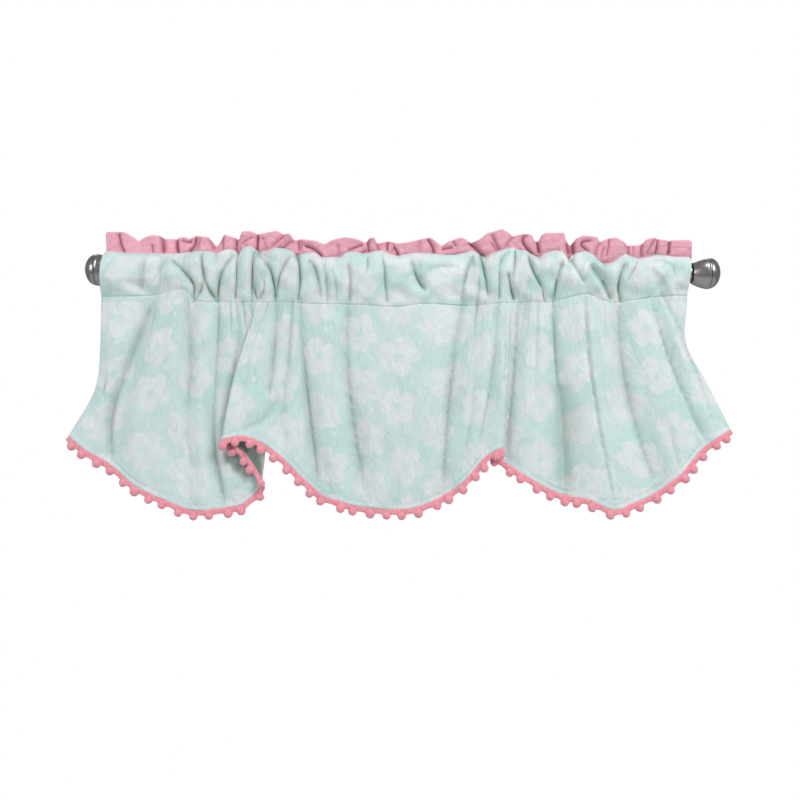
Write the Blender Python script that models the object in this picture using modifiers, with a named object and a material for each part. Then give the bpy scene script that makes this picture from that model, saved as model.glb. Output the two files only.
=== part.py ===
# A window valance gathered on a curtain rod: scalloped panel with a rod pocket, header ruffle,
# pompom trim round the hem, rod and two ball finials. The origin is the middle of the rod's
# axis, +X runs along the rod to the right, the cloth's face looks towards -Y, +Z is up.
from collections import namedtuple
from math import pi
from math import radians

import bmesh
import bpy
import numpy as np
from mathutils import Matrix
from mathutils import Vector

MM = 0.001

# Rod and finials, in metres.
ROD_RADIUS = 0.008
FINIAL_RING_AT = 0.4086
FINIAL_RADIUS = 0.0208
FINIAL_TIP = 0.017
FINIAL_NECK_LENGTH = 0.021
FINIAL_NECK_RADIUS = 0.0140
COLLAR_RADIUS = 0.0100
COLLAR_LENGTH = 0.006
RING_RISE = 0.0006
RING_HALF_WIDTH = 0.0012
GAP = 0.0003

# Cloth, in metres.
PLUSH_THICKNESS = 0.002
SEAM_OUT = 0.0095
SEAM_FOLLOWS = 0.5
MEAN_OUT = 0.012
POCKET_BULGE = 0.018
FINIAL_BULGE = 0.0075
FINIAL_BULGE_REACH = 0.022
SEAM_GAP = 0.0032
BACK_HEM = 0.010
BACK_HEM_SPREAD = 0.0015
ROD_CLEARANCE = 0.0035

# Header ruffle, in metres.
RUFFLE_THICKNESS = 0.003
RUFFLE_ROOT_GAP = 0.0009
RUFFLE_ROOT_REACH = 0.003
RUFFLE_SWAY = 0.0075
RUFFLE_SWAYS_FROM = 0.014

# Pompom trim, in metres.
TAPE_WIDTH = 0.0084
TAPE_THICKNESS = 0.0022
TAPE_GAP = 0.0009
TAPE_EVENS_OVER = 0.018
BALL_RADIUS = 0.0056
BALL_HANG = 0.0083
BALL_PITCH = 0.021

# Fineness of the meshes. Columns stand closer where the cloth turns: a turn of one radian
# counts as TURN_WORTH metres of length, evened out over TURN_BLUR fine steps to each side.
CLOTH_COLUMNS = 102
FINE_STEPS = 2400
TURN_WORTH = 0.010
TURN_BLUR = 24
SKIRT_ROWS = 9
RUFFLE_COLUMNS_PER_WAVE = 3
RUFFLE_ROWS = 2

# The hanging cloth, a row for each ridge, trough or bend from its left edge to its right one,
# in millimetres. across_*: from the middle of the rod, at the pocket's seam, a third and two
# thirds of the way down, and at the hem. out_*: in front of the rod's axis, half-way down and at
# the hem. crown: the top fold above the axis. seam and drop: seam and hem below the axis.
# From the right bend of an overlap to its left bend the sheet runs back to the left.
Fold = namedtuple("Fold", "place across_pocket across_third across_two_thirds across_hem "
                          "out_half out_hem crown seam drop")
FOLDS = [
    Fold("left edge",                 -402, -403, -410, -444,  7,  9, 22, 36, 223),
    Fold("edge ridge",                -375, -383, -395, -418, 12, 16, 24, 36, 242),
    Fold("slanting trough",           -331, -352, -376, -386,  6,  6, 21, 34, 263),
    Fold("left panel",                -318, -336, -352, -358, 13, 14, 22, 31, 285),
    Fold("left panel end",            -289, -303, -310, -311, 14, 15, 24, 28, 308),
    Fold("narrow trough",             -279, -286, -288, -281,  8,  9, 26, 40, 320),
    Fold("narrow ridge",              -263, -267, -268, -259, 13, 14, 25, 43, 320),
    Fold("dark trough",               -246, -249, -249, -235,  8, 10, 24, 42, 317),
    Fold("last left ridge",           -226, -226, -219, -208, 10, 10, 22, 43, 309),
    Fold("overlap, right bend",       -204, -190, -181, -184, 12, 13, 31, 43, 282),
    Fold("overlap, inside",           -197, -200, -205, -207, 15, 17, 34, 43, 247),
    Fold("overlap, left bend",        -190, -211, -227, -240, 18, 22, 35, 43, 232),
    Fold("pleat face",                -183, -197, -207, -215, 20, 25, 34, 43, 223),
    Fold("pleat shoulder",            -173, -181, -185, -186, 19, 23, 30, 43, 229),
    Fold("pleat trough",              -158, -160, -161, -157, 17, 21, 30, 43, 250),
    Fold("creased ridge",             -141, -136, -132, -126, 18, 20, 22, 43, 281),
    Fold("middle trough one",         -130, -128, -120, -108, 12, 12, 29, 44, 298),
    Fold("middle ridge",              -105, -102,  -93,  -79, 15, 17, 21, 45, 308),
    Fold("middle trough two",          -76,  -78,  -59,  -52, 11, 11, 25, 45, 315),
    Fold("flat face, left",            -49,  -46,  -35,  -24, 14, 15, 25, 46, 317),
    Fold("flat face",                   -9,   -4,    3,    8, 15, 16, 20, 48, 317),
    Fold("flat face, right",            37,   35,   35,   39, 14, 14, 23, 44, 308),
    Fold("leaning trough",              85,   67,   54,   56, 10, 10, 28, 46, 300),
    Fold("middle right ridge",         104,   94,   85,   85, 15, 17, 29, 45, 277),
    Fold("right shoulder",             121,  119,  115,  112, 17, 20, 28, 43, 246),
    Fold("small overlap, right bend",  138,  140,  136,  133, 16, 19, 32, 42, 235),
    Fold("small overlap, inside",      144,  137,  132,  130, 13, 14, 32, 42, 237),
    Fold("small overlap, left bend",   150,  134,  127,  123,  9,  9, 32, 42, 242),
    Fold("right panel start",          158,  144,  137,  133,  7,  5, 31, 42, 251),
    Fold("right first ridge",          173,  169,  168,  170, 13, 14, 23, 41, 275),
    Fold("broad trough",               201,  210,  215,  219,  5,  3, 28, 39, 299),
    Fold("right panel",                223,  233,  241,  247, 13, 14, 26, 34, 303),
    Fold("sharp ridge",                247,  257,  266,  285, 16, 19, 24, 30, 316),
    Fold("sharp ridge side",           263,  275,  289,  309, 12, 13, 14, 36, 308),
    Fold("lower right trough",         281,  291,  316,  337,  9,  8, 18, 41, 296),
    Fold("right ridge",                309,  327,  349,  370, 14, 14, 20, 37, 270),
    Fold("corner trough",              339,  353,  370,  400, 10, 11, 25, 33, 236),
    Fold("right edge ridge",           363,  368,  394,  424, 12, 14, 21, 31, 217),
    Fold("right edge",                 380,  379,  408,  438,  7,  8, 20, 31, 210),
]

# The pocket in section, a row for each station from the front seam over the crown to the back
# one: out as a share of the bulge, up as a share of the crown's height or of the seam's depth.
Station = namedtuple("Station", "place out up_of_crown down_of_seam")
POCKET = [
    Station("front low",   0.74, 0.00, 0.55),
    Station("front",       1.00, 0.00, 0.05),
    Station("front high",  0.78, 0.62, 0.00),
    Station("front top",   0.36, 0.93, 0.00),
    Station("crown",       0.00, 1.00, 0.00),
    Station("back top",   -0.36, 0.93, 0.00),
    Station("back high",  -0.78, 0.62, 0.00),
    Station("back",       -1.00, 0.00, 0.05),
    Station("back low",   -0.66, 0.00, 0.55),
]

# Tucks that the gathering presses into the pocket's front, in millimetres.
Tuck = namedtuple("Tuck", "across_crown across_seam depth half_width")
TUCKS = [
    Tuck(-300, -280, 5, 9),
    Tuck(-268, -250, 4, 7),
    Tuck(-226, -243, 5, 7),
    Tuck(-218, -222, 5, 6),
    Tuck(-199, -174, 5, 7),
    Tuck(-147, -166, 5, 7),
    Tuck(-141, -141, 4, 6),
    Tuck(-108, -104, 3, 7),
    Tuck( -85,  -86, 3, 7),
    Tuck(  10,   30, 4, 9),
    Tuck(  98,   78, 4, 8),
    Tuck( 107,  113, 4, 7),
    Tuck( 143,  128, 5, 8),
    Tuck( 171,  186, 4, 7),
    Tuck( 209,  190, 4, 7),
    Tuck( 244,  270, 5, 9),
    Tuck( 293,  291, 5, 8),
]

# The ruffle's upper edge, a row for each lobe, in millimetres: where it crests and how high,
# and the dip that follows it.
Lobe = namedtuple("Lobe", "crest_at crest_up dip_at dip_up")
LOBES = [
    Lobe(-382, 48, -351, 38),
    Lobe(-330, 45, -315, 40),
    Lobe(-295, 42, -286, 38),
    Lobe(-267, 43, -249, 33),
    Lobe(-234, 46, -219, 39),
    Lobe(-207, 51, -186, 48),
    Lobe(-170, 51, -158, 45),
    Lobe(-150, 49, -143, 40),
    Lobe(-128, 41, -105, 35),
    Lobe( -77, 43,  -52, 36),
    Lobe( -43, 44,  -33, 36),
    Lobe( -20, 39,  -12, 36),
    Lobe(  35, 44,   51, 33),
    Lobe(  77, 44,   92, 38),
    Lobe( 129, 55,  145, 47),
    Lobe( 162, 50,  178, 39),
    Lobe( 200, 51,  225, 34),
    Lobe( 245, 47,  263, 38),
    Lobe( 283, 45,  309, 36),
    Lobe( 331, 45,  355, 41),
    Lobe( 374, 42,  386, 40),
]
RUFFLE_LEFT_EDGE = (-394, 47)

# Colours, finish and metal of each material.
Finish = namedtuple("Finish", "colour roughness metallic")
FINISHES = {
    "mint plush": Finish((0.60, 0.80, 0.76), 0.95, 0.0),
    "pink velour": Finish((0.80, 0.30, 0.40), 0.90, 0.0),
    "coral trim": Finish((0.92, 0.25, 0.33), 0.90, 0.0),
    "grey metal": Finish((0.20, 0.19, 0.19), 0.35, 1.0),
}


def clear_scene():
    for thing in list(bpy.data.objects):
        bpy.data.objects.remove(thing, do_unlink=True)


def new_collection(name):
    collection = bpy.data.collections.new(name)
    bpy.context.scene.collection.children.link(collection)
    return collection


def new_material(name):
    finish = FINISHES[name]
    material = bpy.data.materials.new(name)
    material.use_nodes = True
    shader = material.node_tree.nodes["Principled BSDF"]
    shader.inputs["Base Color"].default_value = (*finish.colour, 1.0)
    shader.inputs["Roughness"].default_value = finish.roughness
    shader.inputs["Metallic"].default_value = finish.metallic
    return material


def new_object(name, shape, collection, material=None):
    """Make a mesh object from a bmesh and link it to a collection."""
    mesh = bpy.data.meshes.new(name)
    shape.to_mesh(mesh)
    shape.free()
    if material:
        mesh.materials.append(material)
    thing = bpy.data.objects.new(name, mesh)
    collection.objects.link(thing)
    return thing


def knot_slopes(knots, values):
    """Slope at each knot from the two spans beside it, the nearer one counting more."""
    steps = np.diff(knots).reshape((-1,) + (1,) * (values.ndim - 1))
    rises = np.diff(values, axis=0) / steps
    slopes = np.empty(values.shape)
    slopes[1:-1] = (rises[:-1] * steps[1:] + rises[1:] * steps[:-1]) / (steps[:-1] + steps[1:])
    slopes[0] = rises[0]
    slopes[-1] = rises[-1]
    return slopes


def unit(vectors):
    return vectors / np.linalg.norm(vectors, axis=-1, keepdims=True)


def round_slopes(knots, values):
    """Slopes that, seen from above, halve each corner at the spans' mean speed: bends stay round."""
    slopes = knot_slopes(knots, values)
    chords = np.diff(values[..., :2], axis=0)
    speeds = np.linalg.norm(chords, axis=-1) / np.diff(knots)[:, None]
    heading = unit(unit(chords[:-1]) + unit(chords[1:]))
    slopes[1:-1, :, :2] = heading * ((speeds[:-1] + speeds[1:]) / 2)[..., None]
    return slopes


def smooth_through(knots, values, places, slopes_at=knot_slopes):
    """Cubic Hermite curve through values at knots."""
    slopes = slopes_at(knots, values)
    span = np.clip(np.searchsorted(knots, places, side="right") - 1, 0, len(knots) - 2)
    beside = (-1,) + (1,) * (values.ndim - 1)
    wide = np.diff(knots)[span].reshape(beside)
    t = (places - knots[span]).reshape(beside) / wide
    start = values[span] * (1 + 2 * t) * (1 - t) ** 2 + slopes[span] * wide * t * (1 - t) ** 2
    end = values[span + 1] * t ** 2 * (3 - 2 * t) + slopes[span + 1] * wide * t ** 2 * (t - 1)
    return start + end


def fold_column(name):
    return np.array([getattr(fold, name) for fold in FOLDS]) * MM


def cut_places():
    """Where each fold lies along the cut cloth: the running length of the hem, seen from above."""
    across = fold_column("across_hem")
    out = fold_column("out_hem")
    return np.concatenate(([0.0], np.cumsum(np.hypot(np.diff(across), np.diff(out)))))


def column_places(count):
    """Places of the mesh's columns: even steps of length and turning, half-way down and at the hem."""
    fine = np.linspace(0.0, cut_places()[-1], FINE_STEPS)
    lines = skirt_points(fine, np.array([0.5, 1.0]))[:, :, :2]
    steps = np.diff(lines, axis=1)
    lengths = np.hypot(steps[..., 0], steps[..., 1])
    headings = np.unwrap(np.arctan2(steps[..., 1], steps[..., 0]), axis=1)
    turns = np.abs(np.diff(headings, axis=1, append=headings[:, -1:]))
    effort = (lengths + TURN_WORTH * turns).mean(axis=0)
    blur = np.exp(-np.linspace(-2.0, 2.0, 2 * TURN_BLUR + 1) ** 2)
    effort = np.convolve(np.pad(effort, TURN_BLUR, mode="edge"), blur / blur.sum(), mode="valid")
    effort = np.concatenate(([0.0], np.cumsum(effort)))
    return np.interp(np.linspace(0.0, effort[-1], count), effort, fine)


def seam_out():
    """The seam's place in front of the rod: nearly straight, following the folds a little."""
    return SEAM_OUT + SEAM_FOLLOWS * (fold_column("out_half") - MEAN_OUT)


def skirt_points(places, downs):
    """Points of the hanging cloth at places along the cut and shares of the way down."""
    heights = ("across_pocket", "across_third", "across_two_thirds", "across_hem")
    levels = np.stack([fold_column(name) for name in heights])
    across = smooth_through(np.linspace(0.0, 1.0, len(heights)), levels, downs)
    outs = np.stack([seam_out(), fold_column("out_half"), fold_column("out_hem")])
    out = smooth_through(np.linspace(0.0, 1.0, len(outs)), outs, downs)
    seam = fold_column("seam")
    drop = seam + (fold_column("drop") - seam) * downs[:, None]
    rows = np.stack([across, -out, -drop], axis=-1).swapaxes(0, 1)
    return smooth_through(cut_places(), rows, places, round_slopes).swapaxes(0, 1)


def tuck_depth(across, height_share):
    """How far the tucks press the pocket inwards at a place; 0 at the seam, 1 at the crown."""
    depth = np.zeros_like(across)
    for tuck in TUCKS:
        line = (tuck.across_seam + (tuck.across_crown - tuck.across_seam) * height_share) * MM
        depth = depth + tuck.depth * MM * np.exp(-((across - line) / (tuck.half_width * MM)) ** 2)
    return depth


def pocket_points(places):
    """Rows of points from the front seam over the crown and down the back to its turned hem."""
    columns = {name: smooth_through(cut_places(), fold_column(name), places)
               for name in ("across_pocket", "crown", "seam")}
    across = columns["across_pocket"]
    front = smooth_through(cut_places(), seam_out(), places)
    left_end = across[0]
    bulge = POCKET_BULGE + FINIAL_BULGE * np.exp(-((across - left_end) / FINIAL_BULGE_REACH) ** 2)
    rows = []
    for station in POCKET:
        up = station.up_of_crown * columns["crown"] - station.down_of_seam * columns["seam"]
        share = (up + columns["seam"]) / (columns["crown"] + columns["seam"])
        pressed = bulge - tuck_depth(across, share)
        least = ROD_RADIUS + ROD_CLEARANCE
        reach = np.maximum(pressed, least / max(abs(station.out), 0.5))
        rows.append(np.stack([across, -station.out * reach, up], axis=-1))
    back = front - SEAM_GAP
    rows.append(np.stack([across, -back, -columns["seam"]], axis=-1))
    back_hem = back - BACK_HEM_SPREAD
    rows.append(np.stack([across, -back_hem, -columns["seam"] - BACK_HEM], axis=-1))
    return np.stack(rows)


def bent_grid(points):
    """A grid of quads whose vertices take the given rows of points."""
    rows, columns = points.shape[:2]
    shape = bmesh.new()
    bmesh.ops.create_grid(shape, x_segments=columns - 1, y_segments=rows - 1, size=0.5)
    for vertex in shape.verts:
        column = round((vertex.co.x + 0.5) * (columns - 1))
        row = round((vertex.co.y + 0.5) * (rows - 1))
        vertex.co = Vector(points[row, column])
    return shape


def add_solidify(thing, thickness):
    wall = thing.modifiers.new("wall", "SOLIDIFY")
    wall.thickness = thickness
    wall.offset = 0.0
    wall.use_even_offset = True


def make_panel(collection, material):
    """The folded-over plush: hem, hanging front, pocket over the rod and turned-down back."""
    places = column_places(CLOTH_COLUMNS)
    downs = np.linspace(1.0, 0.0, SKIRT_ROWS + 1)
    points = np.concatenate([skirt_points(places, downs), pocket_points(places)])
    panel = new_object("valance_panel", bent_grid(points), collection, material)
    add_solidify(panel, PLUSH_THICKNESS)
    return panel


def make_ruffle(collection, material):
    """A doubled strip standing on the pocket's crown, its upper edge swaying in lobes."""
    edge = [RUFFLE_LEFT_EDGE]
    for lobe in LOBES:
        edge.append((lobe.crest_at, lobe.crest_up))
        edge.append((lobe.dip_at, lobe.dip_up))
    edge = np.array(edge) * MM
    knots = np.arange(len(edge), dtype=float)
    places = np.linspace(0.0, knots[-1], int(knots[-1]) * RUFFLE_COLUMNS_PER_WAVE + 1)
    top = smooth_through(knots, edge, places)
    columns = column_places(CLOTH_COLUMNS)
    pocket = smooth_through(cut_places(), fold_column("across_pocket"), columns)
    crown = smooth_through(cut_places(), fold_column("crown"), columns)
    beside = top[:, 0] + np.array([[-1.0], [0.0], [1.0]]) * RUFFLE_ROOT_REACH
    root = np.interp(beside, pocket, crown).max(axis=0) + PLUSH_THICKNESS / 2 + RUFFLE_ROOT_GAP
    stands = top[:, 1] - root
    sway = RUFFLE_SWAY * np.cos(pi * places) * np.minimum(stands / RUFFLE_SWAYS_FROM, 1.0)
    rows = []
    for share in np.linspace(0.0, 1.0, RUFFLE_ROWS + 1):
        rows.append(np.stack([top[:, 0], sway * share, root + stands * share], axis=-1))
    ruffle = new_object("header_ruffle", bent_grid(np.stack(rows)), collection, material)
    add_solidify(ruffle, RUFFLE_THICKNESS)
    return ruffle


def hem_frame(places):
    """Points along the hem, their running length, and the way the tape hangs there.

    The tape hangs square to the hem in the cloth's own plane; the hem's slope is evened out
    along it, because a tape can't fold into a corner.
    """
    above, hem = skirt_points(places, np.array([0.98, 1.0]))
    hanging = unit(hem - above)
    run = np.concatenate(([0.0], np.cumsum(np.linalg.norm(np.diff(hem, axis=0), axis=1))))
    along = np.gradient(hem, run, axis=0)
    level = unit(along * (1.0, 1.0, 0.0))
    slope = np.arctan2(along[:, 2], np.linalg.norm(along[:, :2], axis=1))
    near = np.exp(-((run[:, None] - run[None, :]) / TAPE_EVENS_OVER) ** 2)
    near *= np.gradient(run)
    slope = (near @ slope / near.sum(axis=1))[:, None]
    down = unit(hanging - level * np.sum(hanging * level, axis=1, keepdims=True))
    return hem, run, down * np.cos(slope) + level * np.sin(slope)


def make_trim(collection, helpers, material):
    """A tape that follows the hem just below it, with balls fused on its lower edge."""
    places = column_places(CLOTH_COLUMNS)
    hem, run, down = hem_frame(places)
    rows = np.stack([hem + down * (TAPE_GAP + TAPE_WIDTH), hem + down * TAPE_GAP])
    trim = new_object("pompom_trim", bent_grid(rows), collection, material)
    add_solidify(trim, TAPE_THICKNESS)

    line = hem + down * BALL_HANG
    count = round(run[-1] / BALL_PITCH)
    stops = (np.arange(count) + 0.5) * run[-1] / count
    centres = np.stack([np.interp(stops, run, line[:, axis]) for axis in range(3)], axis=-1)
    balls = bmesh.new()
    for centre in centres:
        bmesh.ops.create_uvsphere(balls, u_segments=6, v_segments=4, radius=BALL_RADIUS,
                                  matrix=Matrix.Translation(Vector(centre)))
    tool = new_object("balls_to_fuse", balls, helpers)
    tool.hide_render = True
    tool.display_type = "WIRE"
    fuse = trim.modifiers.new("fuse balls", "BOOLEAN")
    fuse.operation = "UNION"
    fuse.solver = "EXACT"
    fuse.use_self = True
    fuse.object = tool
    return trim


def make_rod(collection, material):
    length = 2 * (FINIAL_RING_AT - FINIAL_NECK_LENGTH - COLLAR_LENGTH - GAP)
    shape = bmesh.new()
    bmesh.ops.create_cone(shape, cap_ends=True, segments=24, radius1=ROD_RADIUS,
                          radius2=ROD_RADIUS, depth=length,
                          matrix=Matrix.Rotation(radians(90), 4, "Y"))
    rod = new_object("rod", shape, collection, material)
    rod.data.shade_smooth()
    rod.data.set_sharp_from_angle(angle=radians(40))
    return rod


def finial_profile():
    """Radius and height down the outer side: tip dome, raised ring, inner dome and collar."""
    points = [(0.0, FINIAL_TIP)]
    for angle in np.radians([20, 40, 58, 74]):
        radius = FINIAL_RADIUS * np.sin(angle)
        points.append((radius, RING_HALF_WIDTH + (FINIAL_TIP - RING_HALF_WIDTH) * np.cos(angle)))
    points.append((FINIAL_RADIUS, RING_HALF_WIDTH * 1.6))
    points.append((FINIAL_RADIUS + RING_RISE, RING_HALF_WIDTH * 0.6))
    points.append((FINIAL_RADIUS + RING_RISE, -RING_HALF_WIDTH * 0.6))
    points.append((FINIAL_RADIUS, -RING_HALF_WIDTH * 1.6))
    inner = FINIAL_RADIUS - FINIAL_NECK_RADIUS
    for share in (0.35, 0.7, 1.0):
        points.append((FINIAL_RADIUS - inner * share ** 1.6, -FINIAL_NECK_LENGTH * share))
    points.append((COLLAR_RADIUS, -FINIAL_NECK_LENGTH - 0.001))
    points.append((COLLAR_RADIUS, -FINIAL_NECK_LENGTH - COLLAR_LENGTH))
    points.append((0.0, -FINIAL_NECK_LENGTH - COLLAR_LENGTH))
    return points


def make_finial(name, side, collection, material):
    """A turned finial: its profile spun about its own axis, which lies along the rod."""
    shape = bmesh.new()
    line = [shape.verts.new((radius, 0.0, height)) for radius, height in finial_profile()]
    for upper, lower in zip(line[:-1], line[1:]):
        shape.edges.new((upper, lower))
    finial = new_object(name, shape, collection, material)
    finial.location = (side * FINIAL_RING_AT, 0.0, 0.0)
    finial.rotation_euler = (0.0, side * radians(90), 0.0)
    spin = finial.modifiers.new("spin", "SCREW")
    spin.steps = 20
    spin.render_steps = 20
    spin.use_merge_vertices = True
    spin.merge_threshold = 0.00001
    spin.use_smooth_shade = True
    return finial


def main():
    clear_scene()
    valance = new_collection("window_valance")
    helpers = new_collection("helpers")
    plush = new_material("mint plush")
    velour = new_material("pink velour")
    coral = new_material("coral trim")
    metal = new_material("grey metal")
    make_panel(valance, plush)
    make_ruffle(valance, velour)
    make_trim(valance, helpers, coral)
    make_rod(valance, metal)
    make_finial("finial_left", -1, valance, metal)
    make_finial("finial_right", 1, valance, metal)


main()
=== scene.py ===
# Looks for a window valance gathered on a curtain rod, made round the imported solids.
# Metres throughout: the middle of the rod's axis is the origin, the room is towards -Y, +Z is up.
import math

import bmesh
import bpy
import numpy as np
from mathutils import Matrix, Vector


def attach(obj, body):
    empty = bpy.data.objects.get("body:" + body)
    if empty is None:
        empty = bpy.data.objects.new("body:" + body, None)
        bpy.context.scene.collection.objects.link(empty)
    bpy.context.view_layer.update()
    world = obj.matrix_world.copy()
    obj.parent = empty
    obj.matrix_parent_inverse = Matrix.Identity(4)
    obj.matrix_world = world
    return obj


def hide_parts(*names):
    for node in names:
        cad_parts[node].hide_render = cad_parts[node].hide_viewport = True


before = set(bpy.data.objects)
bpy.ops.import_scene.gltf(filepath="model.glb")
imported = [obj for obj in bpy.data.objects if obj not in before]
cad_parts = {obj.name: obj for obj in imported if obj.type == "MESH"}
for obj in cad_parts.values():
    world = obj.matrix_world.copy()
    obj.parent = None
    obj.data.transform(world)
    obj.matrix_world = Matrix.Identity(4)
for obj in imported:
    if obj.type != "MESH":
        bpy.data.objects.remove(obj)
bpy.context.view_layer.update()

mm = 0.001
tableSteps = 4000       # points of the fine line on which a table's corners are rounded
cutSteps = 3000         # points of the fine line from which places along the cut are read
runOn = 0.08            # a crease's line runs on past both ends by this share of its length
lineSteps = 45          # points on a crease's line
lineReach = 5           # a crease is felt this many half widths away
noiseWaves = 12


def unit(vectors):
    return vectors / np.maximum(np.linalg.norm(vectors, axis=-1, keepdims=True), 1e-12)


def plainSlopes(knots, values):
    # slope at a knot: the two spans beside it, the nearer one counting more
    steps = np.diff(knots).reshape((-1,) + (1,) * (values.ndim - 1))
    rises = np.diff(values, axis=0) / steps
    inner = (rises[:-1] * steps[1:] + rises[1:] * steps[:-1]) / (steps[:-1] + steps[1:])
    return np.concatenate([rises[:1], inner, rises[-1:]])


def roundSlopes(knots, values):
    # seen from above each knot's heading halves the corner there, at the spans' mean speed
    slopes = plainSlopes(knots, values)
    chords = np.diff(values[..., :2], axis=0)
    speeds = np.linalg.norm(chords, axis=-1) / np.diff(knots)[:, None]
    heading = unit(unit(chords[:-1]) + unit(chords[1:]))
    slopes[1:-1, :, :2] = heading * ((speeds[:-1] + speeds[1:]) / 2)[..., None]
    return slopes


def smoothThrough(knots, values, places, slopesAt=plainSlopes):
    # cubic Hermite curve through the values: two end values and two end slopes blended by t
    slopes = slopesAt(knots, values)
    span = np.clip(np.searchsorted(knots, places, side="right") - 1, 0, len(knots) - 2)
    beside = (-1,) + (1,) * (values.ndim - 1)
    wide = np.diff(knots)[span].reshape(beside)
    t = (places - knots[span]).reshape(beside) / wide
    start = values[span] * (1 + 2 * t) * (1 - t) ** 2 + slopes[span] * wide * t * (1 - t) ** 2
    end = values[span + 1] * t ** 2 * (3 - 2 * t) + slopes[span + 1] * wide * t ** 2 * (t - 1)
    return start + end


def movingMean(values, width):
    # mean of an odd number of neighbours, with the end values carried on past both ends
    return np.convolve(np.pad(values, width // 2, mode="edge"), np.ones(width) / width, mode="valid")


def softCorners(table, column, across, roundness):
    # straight runs between a table's rows, in millimetres, rounded by a moving mean taken
    # twice, and read at places in metres
    rows = np.array(table, dtype=float) * mm
    fine = np.linspace(rows[0, 0], rows[-1, 0], tableSteps)
    width = max(1, int(roundness / (fine[1] - fine[0]))) * 2 + 1
    once = movingMean(np.interp(fine, rows[:, 0], rows[:, column]), width)
    return np.interp(across, fine, movingMean(once, width))


def softNoise(x, y, size, seed):
    # sum of a dozen cosine waves of about one size, each in its own direction: runs about -1 to 1
    rng = np.random.default_rng(seed)
    total = np.zeros(np.broadcast(x, y).shape)
    turns = rng.uniform(0, math.pi, noiseWaves)
    stretches = rng.uniform(0.6, 1.5, noiseWaves)
    phases = rng.uniform(0, 2 * math.pi, noiseWaves)
    for turn, stretch, phase in zip(turns, stretches, phases):
        wave = 2 * math.pi / (size * stretch)
        total = total + np.cos(wave * (x * math.cos(turn) + y * math.sin(turn)) + phase)
    return total / (noiseWaves / 3)


def lengthsAlong(points, axis):
    # running length from the first point along one direction of a grid
    steps = np.linalg.norm(np.diff(points, axis=axis), axis=-1)
    first = np.zeros_like(np.take(steps, [0], axis=axis))
    return np.concatenate([first, np.cumsum(steps, axis=axis)], axis=axis)


def gridMesh(name, points, uv=None, around=False, capped=False, pressed=None):
    # quads between neighbouring rows and columns; around joins the last row to the first,
    # capped closes the first and the last column; the painted shade is kept on the points for the finish
    rows, columns = points.shape[:2]
    number = np.arange(rows * columns).reshape(rows, columns)
    if around:
        number = np.concatenate([number, number[:1]])
    quads = np.stack([number[:-1, :-1], number[:-1, 1:], number[1:, 1:], number[1:, :-1]], axis=-1)
    faces = quads.reshape(-1, 4)
    mesh = bpy.data.meshes.new(name)
    corners = faces.ravel()
    sizes = np.full(len(faces), 4)
    if capped:
        ends = [number[:-1, 0], number[:-1, -1][::-1]]
        corners = np.concatenate([corners] + ends)
        sizes = np.concatenate([sizes, [len(end) for end in ends]])
    mesh.vertices.add(rows * columns)
    mesh.vertices.foreach_set("co", points.reshape(-1).astype(np.float32))
    mesh.loops.add(len(corners))
    mesh.loops.foreach_set("vertex_index", corners.astype(np.int32))
    mesh.polygons.add(len(sizes))
    starts = np.concatenate(([0], np.cumsum(sizes)[:-1]))
    mesh.polygons.foreach_set("loop_start", starts.astype(np.int32))
    mesh.update(calc_edges=True)
    mesh.validate()
    if uv is not None:
        layer = mesh.uv_layers.new(name="cut")
        at = np.empty(len(mesh.loops), dtype=np.int32)
        mesh.loops.foreach_get("vertex_index", at)
        layer.data.foreach_set("uv", uv.reshape(-1, 2)[at].ravel().astype(np.float32))
    if pressed is not None:
        mesh.attributes.new("pressed", "FLOAT", "POINT")
        mesh.attributes["pressed"].data.foreach_set("value", pressed.ravel().astype(np.float32))
    mesh.shade_smooth()
    return mesh


def putPiece(name, mesh, materials, slotName, *nodes):
    # links a finished mesh, rides it on the body and hides the solids it stands for
    piece = bpy.data.objects.new(name, mesh)
    bpy.context.scene.collection.objects.link(piece)
    for material in materials:
        mesh.materials.append(material)
    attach(piece, "root")
    if nodes:
        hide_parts(*nodes)
    return piece


def blank(name):
    material = bpy.data.materials.new(name)
    material.use_nodes = True
    material.node_tree.nodes.clear()
    return material, material.node_tree


def addNode(tree, kind, inputs=None, **settings):
    # one shader node; inputs are numbers, colours or other nodes' outputs
    node = tree.nodes.new(kind)
    for setting, value in settings.items():
        setattr(node, setting, value)
    for key, value in (inputs or {}).items():
        if isinstance(value, bpy.types.NodeSocket):
            tree.links.new(value, node.inputs[key])
        else:
            node.inputs[key].default_value = value
    return node


def mathOf(tree, operation, first, second=0.0):
    return addNode(tree, "ShaderNodeMath", {0: first, 1: second}, operation=operation).outputs[0]


def plus(tree, first, second):
    return mathOf(tree, "ADD", first, second)


def minus(tree, first, second):
    return mathOf(tree, "SUBTRACT", first, second)


def times(tree, first, second):
    return mathOf(tree, "MULTIPLY", first, second)


def greater(tree, first, second):
    return mathOf(tree, "MAXIMUM", first, second)


def lengthOf(tree, x, y):
    return mathOf(tree, "SQRT", plus(tree, times(tree, x, x), times(tree, y, y)))


def cutPlace(tree):
    # the place on the flat cut cloth, in metres
    return addNode(tree, "ShaderNodeUVMap", uv_map="cut").outputs[0]


def objectPlace(tree):
    return addNode(tree, "ShaderNodeTexCoord").outputs["Object"]


def pressedShare(tree):
    # the painted shade kept on the mesh's points; below zero, the lap's painted shadow
    return addNode(tree, "ShaderNodeAttribute", attribute_name="pressed").outputs["Fac"]


def noiseAt(tree, place, scale, detail, **more):
    inputs = {"Vector": place, "Scale": scale, "Detail": detail, **more}
    return addNode(tree, "ShaderNodeTexNoise", inputs)


def bumpOf(tree, height, distance, strength=1.0, **more):
    inputs = {"Height": height, "Distance": distance, "Strength": strength, **more}
    return addNode(tree, "ShaderNodeBump", inputs).outputs[0]


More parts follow.
